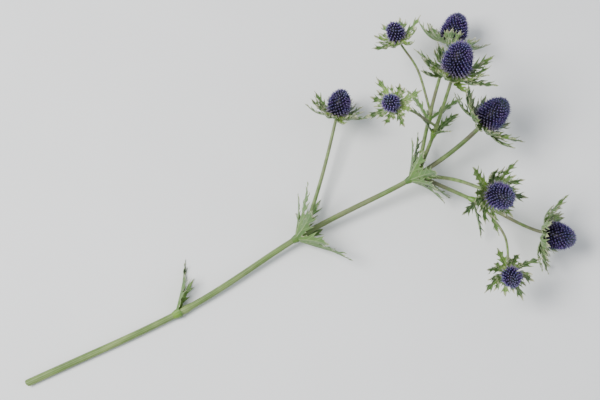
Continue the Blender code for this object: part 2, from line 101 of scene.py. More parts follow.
# Growth axes: points that each one passes through, in millimetres from the cut end, with the
# way that its tip faces, its radii, and the distance along it to a fork
AXES = {
    "main": dict(
        through=[(0, 0, 3.1), (158, -7, 4.8), (285, 3, 12), (400, 0, 27), (470, 9, 50)],
        faces=(0.80, 0.16, 0.58), radii=STEM_RADII, forks=[1, 2, 3]),
    "left": dict(
        through=[(400, 0, 27), (440, 47, 27), (488, 96, 27)],
        faces=(0.70, 0.66, 0.27), radii=BRANCH_RADII, forks=[1]),
    "right": dict(
        through=[(400, 0, 27), (438, -50, 26), (474, -100, 27)],
        faces=(0.66, -0.70, 0.27), radii=BRANCH_RADII, forks=[1]),
    "upper_left": dict(
        through=[(400, 0, 27), (430, 24, 62), (458, 50, 100)],
        faces=(0.46, 0.42, 0.78), radii=BRANCH_RADII, forks=[1]),
    "upper_right": dict(
        through=[(400, 0, 27), (422, -26, 56), (438, -56, 82)],
        faces=(0.22, -0.62, 0.75), radii=BRANCH_RADII, forks=[]),
    "low": dict(
        through=[(285, 3, 12), (326, 44, 16), (362, 84, 28)],
        faces=(0.52, 0.56, 0.64), radii=BRANCH_RADII, forks=[]),
    "left_twig": dict(
        through=[(440, 47, 27), (446, 84, 42), (440, 112, 62)],
        faces=(-0.10, 0.58, 0.80), radii=TWIG_RADII, forks=[]),
    "right_twig": dict(
        through=[(438, -50, 26), (440, -88, 34), (424, -120, 50)],
        faces=(-0.25, -0.62, 0.74), radii=TWIG_RADII, forks=[]),
    "upper_twig": dict(
        through=[(430, 24, 62), (412, 38, 92), (394, 44, 120)],
        faces=(-0.36, 0.10, 0.92), radii=TWIG_RADII, forks=[]),
}

# Flower heads: the axis that each one ends, its size against a full head, its florets and bracts
HEADS = [
    dict(axis="main", size=1.00, florets=104, bracts=12, turn=10),
    dict(axis="left", size=0.95, florets=96, bracts=10, turn=35),
    dict(axis="right", size=0.93, florets=94, bracts=11, turn=5),
    dict(axis="upper_left", size=1.02, florets=104, bracts=12, turn=20),
    dict(axis="upper_right", size=0.86, florets=82, bracts=10, turn=0),
    dict(axis="low", size=0.80, florets=78, bracts=10, turn=15),
    dict(axis="left_twig", size=0.60, florets=52, bracts=8, turn=0),
    dict(axis="right_twig", size=0.64, florets=54, bracts=8, turn=25),
    dict(axis="upper_twig", size=0.56, florets=48, bracts=8, turn=10),
]

# Leaf whorls: the fork that each one sits below, by axis and point, with its leaves' compass turns
WHORLS = [
    dict(name="leaf_stem", axis="main", point=1, length=50 * MM, lobes=True, turns=[262]),
    dict(name="leaves_lower", axis="main", point=2, length=54 * MM, lobes=True, turns=[75, 205, 320]),
    dict(name="leaves_upper", axis="main", point=3, length=48 * MM, lobes=True, turns=[20, 140, 250]),
    dict(name="leaves_left", axis="left", point=1, length=34 * MM, lobes=False, turns=[60, 180, 300]),
    dict(name="leaves_right", axis="right", point=1, length=34 * MM, lobes=False, turns=[0, 120, 240]),
    dict(name="leaves_upper_left", axis="upper_left", point=1, length=32 * MM, lobes=False,
         turns=[30, 150, 270]),
]
COLLAR_HEIGHT = 5 * MM
COLLAR_WALL = 0.8 * MM
COLLAR_BELOW_FORK = 7 * MM
COLLAR_PLAY = 0.55 * MM

# Fine outline of the blades, flat and in millimetres: the grid of points, lobes, needle tips and teeth
BLADE_GRID = 1.0
BODY_SHARE = 1.6
LOBE_ROOT = 0.34
LOBE_STRETCH = 1.16
BASE_TOOTH_AT = (0.55, 0.8)
BASE_TOOTH = (0.6, 1.2)
NOTCH_TOOTH = (0.7, 1.5)
END_TEETH_AT = (0.22, 0.48, 0.74)
END_TOOTH = (0.6, 1.3)
FULL_TEETH_LENGTH = 36
SPINE_LENGTH = 1.9

# Relief of the blades: widths flat and in millimetres, heights in metres
INNER_BRACT_SHARE = 0.66
BLADE_RIM_SHARE = 0.34
BLADE_CORE_WIDTH = 1.7
RIB_WIDTH = 0.55
VEIN_WIDTH = 0.5
RIB_GROOVE = 0.14 * MM
RIB_KEEL = 0.30 * MM
LOBE_LIFT = (-0.16, 0.34)
WAVE_WIDTH = 1.6
WAVE_HEIGHT = 0.45 * MM
WAVE_LENGTH = 7.5 * MM

# Turned profiles: a receptacle by shares of its radius and thickness, and a sheath by shares of its
# wall, out from the stem and then from its bore, and of its height
RECEPTACLE_PROFILE = [(0.02, 0.0), (0.42, 0.0), (0.80, 0.10), (0.93, 0.40), (1.0, 0.75), (0.97, 0.97),
                      (0.85, 1.0), (0.02, 1.0)]
SHEATH_ON_STEM = [(-0.125, -0.62), (0.25, -0.50), (0.70, -0.20)]
SHEATH_ON_BORE = [(0.45, 0.05), (0.72, 0.30), (0.90, 0.60), (1.10, 0.90), (1.30, 1.04), (1.05, 1.06),
                  (0.10, 0.70), (-0.10, 0.40)]
TURNED_SIDES = 40
RIB_SHARE = 0.03
FRILL = 0.5 * MM

# Fine detail of the flower heads
FLORETS_ON_FULL_HEAD = 300
FLORET_STRAY = 0.022
CORE_DEPTH = 1.4 * MM
CALYX_SHARE = 0.62
CALYX_RADIUS = 0.58 * MM
BUD_RADIUS = 0.54 * MM
BUD_LENGTH = 1.1 * MM
SEPALS = 5
SEPAL_LENGTH = 1.6 * MM
SPIKE_HALF_WIDTH = 0.42 * MM
SPIKE_SAG = -0.25 * MM
BRISTLE_OVERSHOOT = 2.7 * MM
STAMEN_LENGTH = 2.6 * MM
STAMEN_RADIUS = 0.09 * MM
STAMENS_FROM = 0.6
STAMENS_APART = math.pi * 0.8

# Parts of a floret: share of its length, half width and half depth at each ring, the sides of a
# ring, and the colour's place on the scale from the painted shade of the depth to the pale tip with
# its painted highlight, as a start and a range
BRACTEOLE = dict(rings=[(0.0, 0.90, 0.55), (0.40, 1.0, 0.60), (0.72, 0.62, 0.45), (0.90, 0.30, 0.28)],
                 sides=4, reach=(0.0, 1.0))
CALYX = dict(rings=[(0.0, 0.55, 0.55), (0.50, 0.80, 0.80), (0.82, 1.0, 1.0), (0.93, 0.86, 0.86)],
             sides=6, reach=(0.0, 0.62))
BUD = dict(rings=[(0.0, 0.90, 0.90), (0.50, 0.85, 0.85)], sides=5, reach=(0.70, 0.30))
SEPAL = dict(rings=[(0.0, 0.26, 0.12)], sides=3, reach=(0.52, 0.44))
STAMEN = dict(rings=[(0.0, 1.0, 1.0), (0.86, 1.0, 1.0), (0.93, 2.4, 1.8)], sides=3, reach=(0.5, 0.5))

# Fine detail of the stem
STEM_RING = 1.8 * MM
TRUNK_SIDES = 44
BRANCH_SIDES = 33
RIDGES = 11
RIDGE_SHARE = 0.035
RIDGE_SWAY = 0.6
RIDGE_SWAY_PACE = 23
UNEVEN_SHARE = 0.012
UNEVEN_PACE = 90
FORK_SMOOTHING_REACH = 9 * MM
FORK_SMOOTHING_ROUNDS = 8
NODE_REACH = 9 * MM
CUT_HOLLOW = 0.5 * MM
CUT_RINGS = [(0.97, -0.04 * MM), (0.90, 0.02 * MM), (0.72, 0.06 * MM), (0.45, 0.15 * MM),
             (0.25, CUT_HOLLOW), (0.08, CUT_HOLLOW)]
CUT_PLAY = 0.001 * MM
CUT_REACH = 12 * MM
CUT_RIM = 0.93

# Colours of the tissues and of the floor, ramps as (position, colour)
BRACT_TINTS = dict(
    greens=[(0.28, (0.014, 0.054, 0.007)), (0.52, (0.046, 0.130, 0.016)), (0.78, (0.140, 0.255, 0.040))],
    underside=(0.095, 0.175, 0.060), young=(0.17, 0.31, 0.025), pale=(0.36, 0.44, 0.22))
LEAF_TINTS = dict(
    greens=[(0.28, (0.015, 0.055, 0.008)), (0.52, (0.042, 0.120, 0.016)), (0.78, (0.105, 0.215, 0.034))],
    underside=(0.085, 0.165, 0.050), young=(0.15, 0.28, 0.022), pale=(0.30, 0.40, 0.17))
NEEDLE_STRAW = (0.50, 0.49, 0.33)
# Floret ramps by reach: the near-black at the depth is painted shade between the florets, and the pale tips
# are partly the real silver-lilac tips and partly painted highlight
FLORET_VIOLETS_PAINTED_SHADE_HIGHLIGHT = [(0.15, (0.004, 0.002, 0.012)), (0.45, (0.020, 0.007, 0.062)),
                  (0.72, (0.062, 0.022, 0.175)), (0.88, (0.19, 0.12, 0.36)), (1.0, (0.70, 0.66, 0.74))]
FLORET_BLUES_PAINTED_SHADE_HIGHLIGHT = [(0.15, (0.003, 0.002, 0.012)), (0.45, (0.012, 0.008, 0.062)),
                (0.72, (0.036, 0.026, 0.172)), (0.88, (0.14, 0.13, 0.36)), (1.0, (0.66, 0.67, 0.75))]
CROWN_GREEN = (0.075, 0.13, 0.075)
SKIRT_LILAC = (0.46, 0.40, 0.48)
STEM_GREENS = [(0.35, (0.055, 0.105, 0.022)), (0.56, (0.105, 0.185, 0.038)), (0.78, (0.20, 0.29, 0.080))]
RIDGE_GREEN = (0.26, 0.34, 0.14)
STEM_FLUSH = (0.13, 0.075, 0.085)
NODE_GREEN = (0.30, 0.38, 0.14)
PITH_TINTS = [(0.0, (0.36, 0.34, 0.22)), (0.25, (0.60, 0.59, 0.44)), (0.62, (0.52, 0.55, 0.36)),
              (0.88, (0.28, 0.38, 0.15))]
BUNDLE_GREEN = (0.24, 0.30, 0.12)
FLOOR_GREYS = [(0.3, (0.77, 0.78, 0.79)), (0.7, (0.80, 0.81, 0.82))]

# Values that a blade's points carry, distances flat and in millimetres, and the same for plain tissue
BLADE_VALUES = ("vein", "edge", "needle", "along", "rib", "shade", "upper")
PLAIN_TISSUE = dict(vein=3.0, edge=3.0, needle=9.0, along=0.0, rib=3.0, shade=0.5, upper=1.0)

# The lights and the view: where the camera looks, and from where
KEY_LIGHT = dict(place=(-0.9, 0.5, 1.7), size=0.9, power=60, colour=(1.0, 0.98, 0.95))
FILL_LIGHT = dict(place=(1.3, -0.9, 1.1), size=1.4, power=10, colour=(0.93, 0.96, 1.0))
SURROUND_COLOUR = (0.86, 0.90, 0.95, 1)
SURROUND_STRENGTH = 0.62
CAMERA_TURN = -28
CAMERA_ELEVATION = 75
CAMERA_DISTANCE = 1.40
CAMERA_TARGET = (0.0315, 0.034, 0.030)
CAMERA_LENS = 93


def unit(v):
    """The vector at length 1."""
    v = np.asarray(v, float)
    return v / np.linalg.norm(v)


def turns_round(sides):
    """Evenly spaced turns round a circle."""
    return [2 * math.pi * k / sides for k in range(sides)]


def ring_faces(rings, sides):
    """The faces between rings of points and their neighbours."""
    faces = []
    for ring in range(rings - 1):
        for k in range(sides):
            low, high = ring * sides + k, ring * sides + (k + 1) % sides
            faces.append((low, high, high + sides, low + sides))
    return faces


def capped(points, sides):
    """Rings of points joined to a tube that is closed at both ends."""
    caps = [tuple(range(sides))[::-1], tuple(range(len(points) - sides, len(points)))]
    return points, ring_faces(len(points) // sides, sides) + caps


def grow_axis(spec):
    """A smooth centreline through the axis's points, with the arc length at each point and fork."""
    through = np.array(spec["through"], float) * MM
    steps = np.linalg.norm(np.diff(through, axis=0), axis=1)
    tangents = np.gradient(through, axis=0)
    tangents[0] = through[1] - through[0]
    tangents[-1] = unit(spec["faces"]) * steps[-1]
    points = []
    marks = [0]
    for i, step in enumerate(steps):
        count = max(8, int(step / MM))
        t = np.linspace(0, 1, count, endpoint=False)[:, None]
        points.append((2 * t**3 - 3 * t**2 + 1) * through[i] + (t**3 - 2 * t**2 + t) * tangents[i]
                      + (3 * t**2 - 2 * t**3) * through[i + 1] + (t**3 - t**2) * tangents[i + 1])
        marks.append(marks[-1] + count)
    points = np.vstack([*points, through[-1:]])
    along = np.concatenate([[0], np.cumsum(np.linalg.norm(np.diff(points, axis=0), axis=1))])
    return dict(points=points, along=along, marks=along[marks], tip=points[-1], faces=unit(spec["faces"]),
                radii=spec["radii"], forks=[along[marks[k]] for k in spec["forks"]])


def at(axis, s):
    """The point at arc length s on an axis."""
    return np.array([np.interp(s, axis["along"], axis["points"][:, k]) for k in range(3)])


def heading(axis, s):
    """The direction of growth at arc length s."""
    return unit(at(axis, s + MM) - at(axis, s - MM))


def radius_at(axis, s):
    """The stem's radius at arc length s: a taper with a swelling at each fork."""
    start, end = axis["radii"]
    radius = start + (end - start) * s / axis["along"][-1]
    swell = sum(math.exp(-((s - fork) / FORK_SWELLING_LENGTH) ** 2) for fork in axis["forks"])
    return radius * (1 + FORK_SWELLING * swell)


def side_frame(axis_dir, turn):
    """The radial direction at a compass turn round axis_dir, measured from the side that faces up."""
    up = np.array([0, 0, 1.0])
    top = up - axis_dir * (up @ axis_dir)
    top = unit(top if np.linalg.norm(top) > 0.05 else np.array([-1.0, 0, 0]))
    side = np.cross(axis_dir, top)
    return math.cos(turn) * top + math.sin(turn) * side


def blade_points(blade, s, u):
    """Points of a blade's middle surface, pressed flat where they reach the surface.

    s and u are the distances along the blade and across it. The blade leaves its base at lean_base from
    the stem's direction and bends to lean_tip, is folded along its midrib and turns by twist.
    """
    share = np.linspace(0, 1, BLADE_STEPS + 1)
    rising = np.clip((share - BLADE_LEVEL_SHARE) / (1 - BLADE_LEVEL_SHARE), 0, 1)
    lean = blade["lean_base"] + (blade["lean_tip"] - blade["lean_base"]) * np.sin(rising * math.pi / 2)
    middle = (lean[:-1] + lean[1:]) / 2
    step = blade["length"] / BLADE_STEPS
    rise = np.interp(s, share * blade["length"], np.concatenate([[0], np.cumsum(np.cos(middle) * step)]))
    out = np.interp(s, share * blade["length"], np.concatenate([[0], np.cumsum(np.sin(middle) * step)]))
    lean = np.interp(s, share * blade["length"], lean)[:, None]
    twist = blade["twist"] * (s / blade["length"])[:, None]
    u = u[:, None]
    stem, radial = blade["stem"], blade["radial"]
    across = np.cross(radial, stem)
    upper = stem * np.sin(lean) - radial * np.cos(lean)
    sideways = across * np.cos(twist) + upper * np.sin(twist)
    upper = upper * np.cos(twist) - across * np.sin(twist)
    points = blade["origin"] + stem * rise[:, None] + radial * out[:, None]
    points = points + sideways * u * math.cos(blade["fold"]) + upper * np.abs(u) * math.sin(blade["fold"])
    points[:, 2] = np.maximum(points[:, 2], BLADE_THICKNESS / 2)
    return points


def tip_height(blade):
    """The height of a blade's tip if no surface were there."""
    lean = (blade["lean_base"] + blade["lean_tip"]) / 2
    reach = blade["stem"] * math.cos(lean) + blade["radial"] * math.sin(lean)
    return (blade["origin"] + reach * blade["length"])[2]


def outline(blade, side):
    """A blade's rib stations and one margin, as distances along and across: lobes that point forward."""
    length, wide, pairs = blade["length"], blade["wide"], blade["pairs"]
    first, last = 0.22, 0.76
    notches = [first + (last - first) * k / pairs for k in range(pairs + 1)]
    rib = [0.0, *notches, 1.0]
    margin = [(0.0, blade["base"])] + [(n, wide * (1.15 - 0.5 * n)) for n in notches]
    lobes = []
    for k in range(pairs):
        reach = blade["lobe"] * (1.0 - 0.40 * (k + 0.5) / pairs)
        lobes.append((notches[k + 1] + 0.09 + blade["slip"] * side, wide + reach))
    return ([r * length for r in rib], [(n * length, side * u) for n, u in margin],
            [(n * length, side * u) for n, u in lobes])


def blade_surface(blade, grow=0.0, from_station=0):
    """A blade's middle surface as points and triangles, larger by grow, from one of its stations on."""
    blade = dict(blade, length=blade["length"] + grow, wide=blade["wide"] + grow / 2,
                 lobe=blade["lobe"] + grow)
    rib = outline(blade, 1)[0]
    last = len(rib) - 2
    flat = [(s, 0.0) for s in rib]
    faces = []
    for side in (1, -1):
        _, margin, lobes = outline(blade, side)
        rim = len(flat)
        tip = rim + len(margin) - 1
        flat += margin + lobes
        half = [(last, rim + last, last + 1)]
        for k in range(from_station, last):
            half += [(k, rim + k, rim + k + 1), (k, rim + k + 1, k + 1)]
            if k > 0:
                half.append((rim + k, tip + k, rim + k + 1))
        faces += half if side > 0 else [face[::-1] for face in half]
    flat = np.array(flat)
    return blade_points(blade, flat[:, 0], flat[:, 1]), faces


def loft(centres, directions, radii, sides=10):
    """Rings of points round the centres, joined to a closed tube."""
    points = [centre + side_frame(way, turn) * radius
              for centre, way, radius in zip(centres, directions, radii) for turn in turns_round(sides)]
    return capped(points, sides)


class Room:
    """What already stands round a new blade, as surfaces that it may not cross."""

    def __init__(self):
        self.solids = []

    def add(self, owner, surface):
        """Keeps a surface for the node that owns it."""
        points = np.array(surface[0])
        self.solids.append((owner, BVHTree.FromPolygons([Vector(p) for p in points], surface[1]),
                            points.min(axis=0), points.max(axis=0)))

    def is_clear(self, surface, owner, own):
        """Whether a surface crosses none of the owner's solids, or if own is false none of the others."""
        points, faces = surface
        low, high = points.min(axis=0), points.max(axis=0)
        tree = BVHTree.FromPolygons([Vector(p) for p in points], faces)
        for name, solid, least, most in self.solids:
            if (name == owner) != own or (low > most).any() or (high < least).any():
                continue
            if tree.overlap(solid):
                return False
        return True


def point_normals(points, faces):
    """The normal at each point of a surface of triangles, from the faces round it."""
    normals = np.zeros_like(points)
    for face in faces:
        one, two, three = points[list(face)]
        normals[list(face)] += np.cross(two - one, three - one)
    size = np.linalg.norm(normals, axis=1, keepdims=True)
    return normals / np.where(size > 0, size, 1)


def open_edges(faces):
    """The edges that only one face has, each in that face's direction."""
    edges = dict.fromkeys(pair for face in faces for pair in zip(face, face[1:] + face[:1]))
    return [(one, two) for one, two in edges if (two, one) not in edges]


def shell(blade, clearance, grow, from_station=0):
    """A closed surface round a blade at a clearance, from one of its stations on."""
    points, faces = blade_surface(blade, grow, from_station)
    normals = point_normals(points, faces) * (BLADE_THICKNESS / 2 + clearance)
    count = len(points)
    rim = [(one, two, two + count, one + count) for one, two in open_edges(faces)]
    under = [tuple(k + count for k in face[::-1]) for face in faces]
    return np.vstack([points + normals, points - normals]), faces + under + rim


# A blade tries each bend at its full length, and then at shorter ones, until it grows clear, also
# with a margin round its outline. A bend is a change of lean and a turn round the stem, in degrees.
BENDS = [(0, 0), (-8, 0), (8, 0), (0, 6), (0, -6), (-16, 0), (16, 0), (-8, 8), (-8, -8), (8, 8), (8, -8),
         (-24, 0), (-24, 12), (-24, -12), (-36, 0)]
LENGTH_SHARES = [1.0, 0.9, 0.8, 0.68, 0.55]
LEAST_TIP_LEAN = math.radians(6)
OUTLINE_MARGIN = 1.2 * MM
SISTER_MARGIN = 0.4 * MM


def place_blade(room, owner, spec):
    """The blade at the first try that grows clear and isn't pressed down too far, or None."""
    for share, (lean, turn) in itertools.product(LENGTH_SHARES, BENDS):
        blade = dict(spec)
        blade["radial"] = side_frame(spec["stem"], spec["turn"] + math.radians(turn))
        blade["origin"] = spec["centre"] + blade["radial"] * spec["start"]
        blade["lean_tip"] = max(spec["lean_tip"] + math.radians(lean), LEAST_TIP_LEAN)
        for size in ("length", "wide", "lobe"):
            blade[size] = spec[size] * share
        if tip_height(blade) < -DEEPEST_PRESS:
            continue
        if (room.is_clear(shell(blade, BLADE_CLEARANCE, OUTLINE_MARGIN, spec["free_from"]), owner, False)
                and room.is_clear(shell(blade, SISTER_CLEARANCE, SISTER_MARGIN, 1), owner, True)):
            room.add(owner, blade_surface(blade, 0.0, 1))
            return blade
    return None


def plan_bracts(room, head, number):
    """The whorl of bracts under a flower head: long and short ones in turn."""
    draw = random.Random(100 + number)
    size = head["size"]
    blades = []
    for k in range(head["bracts"]):
        short = k % 2
        spec = dict(
            stem=head["faces"], centre=head["centre"], start=RECEPTACLE_RADIUS * size * BRACT_ROOT_SHARE,
            turn=(math.radians(head["turn"])
                  + 2 * math.pi * (k + draw.uniform(-0.12, 0.12)) / head["bracts"]),
            length=BRACT_LENGTH * size**0.75 * (0.78 if short else 1.0) * draw.uniform(0.92, 1.08),
            lean_base=math.radians(96),
            lean_tip=math.radians(draw.uniform(30, 46) if short else draw.uniform(44, 66)),
            base=0.95 * MM * size**0.6, wide=1.7 * MM * size**0.5, lobe=5.0 * MM * size**0.6,
            pairs=2 if short or size < 0.7 else 3, free_from=0, fold=math.radians(draw.uniform(14, 26)),
            twist=math.radians(draw.uniform(-25, 25)), slip=draw.uniform(-0.02, 0.02))
        blade = place_blade(room, head["owner"], spec)
        if blade:
            blades.append(blade)
    return blades


def plan_whorl(room, whorl, number):
    """The leaves that clasp the stem below a fork, each one blade or three that share a base."""
    draw = random.Random(300 + number)
    blades = []
    for turn in whorl["turns"]:
        parts = [(0, 1.0, 3)]
        if whorl["lobes"]:
            parts += [(-30, 0.74, 2), (30, 0.74, 2)]
        lean = draw.uniform(52, 70)
        for offset, share, pairs in parts:
            spec = dict(
                stem=whorl["stem"], centre=whorl["centre"], start=whorl["bore"],
                turn=math.radians(turn + offset), length=whorl["length"] * share * draw.uniform(0.95, 1.05),
                lean_base=math.radians(50), lean_tip=math.radians(lean + draw.uniform(-4, 8)),
                base=1.5 * MM, wide=(2.3 if whorl["lobes"] else 1.7) * MM,
                lobe=(6.0 if whorl["lobes"] else 4.4) * MM,
                pairs=pairs, free_from=1, fold=math.radians(draw.uniform(8, 18)),
                twist=math.radians(draw.uniform(-15, 15)), slip=draw.uniform(-0.02, 0.02))
            blade = place_blade(room, whorl["name"], spec)
            if blade:
                blades.append(blade)
    return blades


def head_surface(head):
    """The surface that the tips of a head's florets reach, as a loft."""
    size, faces = head["size"], head["faces"]
    rings = [(0.0, 0.0), (HEAD_RADIUS * 0.5 * size, 0.0)]
    for z in np.linspace(HEAD_LOWEST_DIRECTION + 0.03, 0.999, 9):
        tip = spike_tip(Vector((math.sqrt(1 - z * z), 0, z)), size)
        rings.append((tip.x, tip.z))
    centres = [head["base"] + faces * up for _, up in rings]
    return loft(centres, [faces] * len(rings), [max(out, 0.2 * MM) for out, _ in rings])


def plan_plant():
    """Every axis, flower head and leaf whorl with its blades, in metres from the cut end."""
    axes = {name: grow_axis(spec) for name, spec in AXES.items()}
    room = Room()
    for axis in axes.values():
        stations = np.linspace(0, axis["along"][-1], max(8, int(axis["along"][-1] / (6 * MM))))
        room.add("stem", loft([at(axis, s) for s in stations], [heading(axis, s) for s in stations],
                              [radius_at(axis, s) for s in stations]))
    heads = []
    for spec in HEADS:
        axis = axes[spec["axis"]]
        faces, size = axis["faces"], spec["size"]
        thick = RECEPTACLE_THICKNESS * size**0.5
        disc = axis["tip"] + faces * GAP
        head = dict(spec, faces=faces, owner="bracts_" + spec["axis"], thick=thick,
                    centre=disc + faces * thick / 2, base=disc + faces * (thick + GAP))
        heads.append(head)
        room.add("head_" + spec["axis"], head_surface(head))
        room.add(head["owner"], loft([disc, disc + faces * thick], [faces, faces],
                                     [RECEPTACLE_RADIUS * size] * 2))
    whorls = []
    for spec in WHORLS:
        axis = axes[spec["axis"]]
        s = axis["marks"][spec["point"]] - COLLAR_BELOW_FORK
        stem, centre, bore = heading(axis, s), at(axis, s), radius_at(axis, s) + COLLAR_PLAY
        whorls.append(dict(spec, stem=stem, centre=centre, bore=bore))
        reach = stem * COLLAR_HEIGHT / 2
        room.add(spec["name"], loft([centre - reach, centre + reach], [stem, stem],
                                    [bore + COLLAR_WALL] * 2))
    for number, head in enumerate(heads):
        head["blades"] = plan_bracts(room, head, number)
    for number, whorl in enumerate(whorls):
        whorl["blades"] = plan_whorl(room, whorl, number)
    return axes, heads, whorls


def placed(origin, z_axis):
    """The matrix that stands a piece's own +Z along z_axis at the origin."""
    turn = Vector(z_axis).to_track_quat("Z", "Y").to_matrix().to_4x4()
    return Matrix.Translation(Vector(origin)) @ turn


def golden_directions(count, lowest):
    """Unit directions in a golden-angle spiral from the pole down to z = lowest."""
    found = []
    for i in range(count):
        z = 1 - (1 - lowest) * (i + 0.5) / count
        ring = math.sqrt(1 - z * z)
        found.append(Vector((ring * math.cos(i * GOLDEN_ANGLE), ring * math.sin(i * GOLDEN_ANGLE), z)))
    return found


def on_core(direction, size):
    """The point of a head's inner dome in a direction, from the middle of its flat base."""
    stretch = HEAD_HEIGHT / (1 - HEAD_LOWEST_DIRECTION)
    core_radius = HEAD_RADIUS - 0.5 * (SPIKE_AT_TOP + SPIKE_AT_BASE)
    core_stretch = stretch - SPIKE_AT_TOP * 0.6
    return Vector((direction.x * core_radius, direction.y * core_radius,
                   (direction.z - HEAD_LOWEST_DIRECTION) * core_stretch)) * size


def spike_tip(direction, size):
    """The tip of the floret that grows in a direction: longer and flatter towards the base."""
    down = (1 - direction.z) / (1 - HEAD_LOWEST_DIRECTION)
    length = SPIKE_AT_TOP + (SPIKE_AT_BASE - SPIKE_AT_TOP) * down
    way = Vector((direction.x, direction.y, direction.z * 0.5 + 0.36)).normalized()
    return on_core(direction, size) + way * length * size


def footprint_shift(heads):
    """How far the solids stand from the planned plant, from the lowest corner of its main head."""
    head = heads[0]
    place = placed(head["base"], head["faces"])
    tips = np.array([place @ spike_tip(way, head["size"])
                     for way in golden_directions(head["florets"], HEAD_LOWEST_DIRECTION)])
    low = np.array(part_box("head_" + head["axis"])[0])
    return np.array([low[0] - tips[:, 0].min(), low[1] - tips[:, 1].min(), 0.0])


def dress(mesh, node, finish):
    """An object for the mesh that replaces a node, rides on the root body and takes a finish."""
    mesh.shade_smooth()
    mesh.set_sharp_from_angle(angle=SMOOTH_ANGLE)
    obj = bpy.data.objects.new(node + "_fine", mesh)
    bpy.context.scene.collection.objects.link(obj)
    obj.data.materials.append(finish)
    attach(obj, "root")
    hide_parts(node)


def keep_values(mesh, values):
    """Stores one number of each kind at each point of a mesh."""
    for name, kept in values.items():
        mesh.attributes.new(name, "FLOAT", "POINT").data.foreach_set("value", kept)


class Growth:
    """The points, faces and point values of a piece while it grows."""

    def __init__(self, *values):
        self.points = []
        self.faces = []
        self.values = {name: [] for name in values}
        self.count = 0

    def add(self, points, faces, **values):
        """Adds points, faces between them and one value of each kind a point, or for all of them."""
        points = np.asarray(points, float)
        self.faces += [tuple(k + self.count for k in face) for face in faces]
        self.points.append(points)
        for name, kept in self.values.items():
            kept.append(np.broadcast_to(np.asarray(values.get(name, 0.0), float), (len(points),)))
        self.count += len(points)

    def piece(self, node, finish, shift):
        """The piece in place of a node, on the ground or over it."""
        points = np.vstack(self.points) + shift
        points[:, 2] = np.maximum(points[:, 2], 0.0)
        mesh = bpy.data.meshes.new(node + "_fine")
        mesh.from_pydata(points.tolist(), [], self.faces)
        keep_values(mesh, {name: np.concatenate(kept) for name, kept in self.values.items()})
        dress(mesh, node, finish)


def bend(start, middle, end, count):
    """Points along a quadratic curve, without its end."""
    t = np.linspace(0, 1, count, endpoint=False)[:, None]
    return (1 - t)**2 * start + 2 * (1 - t) * t * middle + t**2 * end


def lobe_edges(root, tip, crotch):
    """Both edges of a lobe that narrows to a needle: root to tip, and tip back to its crotch."""
    middle = (root + crotch) / 2
    size = np.linalg.norm(tip - middle)
    way = (tip - middle) / size
    side = np.array([-way[1], way[0]])
    return [bend(root, tip - way * 0.60 * size + side * 0.13 * size, tip, 8),
            bend(tip, tip - way * 0.64 * size - side * 0.06 * size, crotch, 7)]


def toothed(edge, share, reach):
    """An edge with a small tooth, pointing forward and out, a share of the way along it, and its tip."""
    k = min(max(1, round(share * (len(edge) - 1))), len(edge) - 1)
    one, two = edge[k - 1], edge[k]
    way = (two - one) / np.linalg.norm(two - one)
    side = np.array([-way[1], way[0]])
    tip = two + (side + way * 0.9) * reach
    shoulder = one + (two - one) * 0.5 + (side * 0.55 + way * 0.35) * reach
    return np.vstack([edge[:k], [shoulder, tip, two + way * 0.15 * reach], edge[k + 1:]]), tip


def fine_margin(blade, side, draw):
    """One margin of a blade from base to tip in flat millimetres, its needle tips and its lobe veins."""
    notches = [np.array(p) / MM * (1, BODY_SHARE) for p in outline(blade, 1)[1]]
    lobes = [np.array(p) / MM for p in outline(blade, side)[2]]
    length = blade["length"] / MM
    scale = min(1.0, length / FULL_TEETH_LENGTH)
    base, tip = toothed(np.linspace(notches[0], notches[1], 7, endpoint=False),
                        draw.uniform(*BASE_TOOTH_AT), draw.uniform(*BASE_TOOTH) * scale)
    tips = [tip]
    veins = []
    edges = [base]
    for start, tip, crotch in zip(notches[1:], lobes, notches[2:]):
        root = start + (crotch - start) * LOBE_ROOT
        middle = (root + crotch) / 2
        tip = middle + (np.abs(tip) - middle) * LOBE_STRETCH * draw.uniform(0.92, 1.08)
        stem, small = toothed(np.linspace(start, root, 4, endpoint=False), 0.6,
                              draw.uniform(*NOTCH_TOOTH) * scale)
        edges += [stem, *lobe_edges(root, tip, crotch)]
        tips += [small, tip]
        veins.append((start * (1, 0), middle * (1, 0.7), tip))
    waist = np.array([0.88 * length, notches[-1][1] * 0.62])
    last = bend(notches[-1], waist, np.array([length, 0.0]), 12)
    for share in END_TEETH_AT:
        last, small = toothed(last, share, draw.uniform(*END_TOOTH) * scale * (1 - 0.4 * share))
        tips.append(small)
    flip = np.array([1, side])
    return (np.vstack([*edges, last]) * flip, [tip * flip for tip in tips],
            [[p * flip for p in vein] for vein in veins])


def inside(points, ring):
    """Whether each flat point lies inside a closed ring."""
    one, two = ring, np.roll(ring, -1, axis=0)
    level = points[:, None, 1]
    crosses = (one[:, 1] > level) != (two[:, 1] > level)
    rise = np.where(two[:, 1] == one[:, 1], 1.0, two[:, 1] - one[:, 1])
    where = one[:, 0] + (level - one[:, 1]) * (two[:, 0] - one[:, 0]) / rise
    return ((points[:, None, 0] < where) & crosses).sum(axis=1) % 2 == 1


def distance_to(points, starts, ends):
    """The distance from each flat point to the nearest of some straight lines."""
    way = ends - starts
    size = np.maximum((way**2).sum(axis=1), 1e-12)
    share = np.clip(((points[:, None] - starts) * way).sum(axis=2) / size, 0, 1)
    return np.linalg.norm(points[:, None] - starts - share[..., None] * way, axis=2).min(axis=1)


def steps_of(lines):
    """The straight steps of some lines of points, as their starts and their ends."""
    return np.vstack([line[:-1] for line in lines]), np.vstack([line[1:] for line in lines])


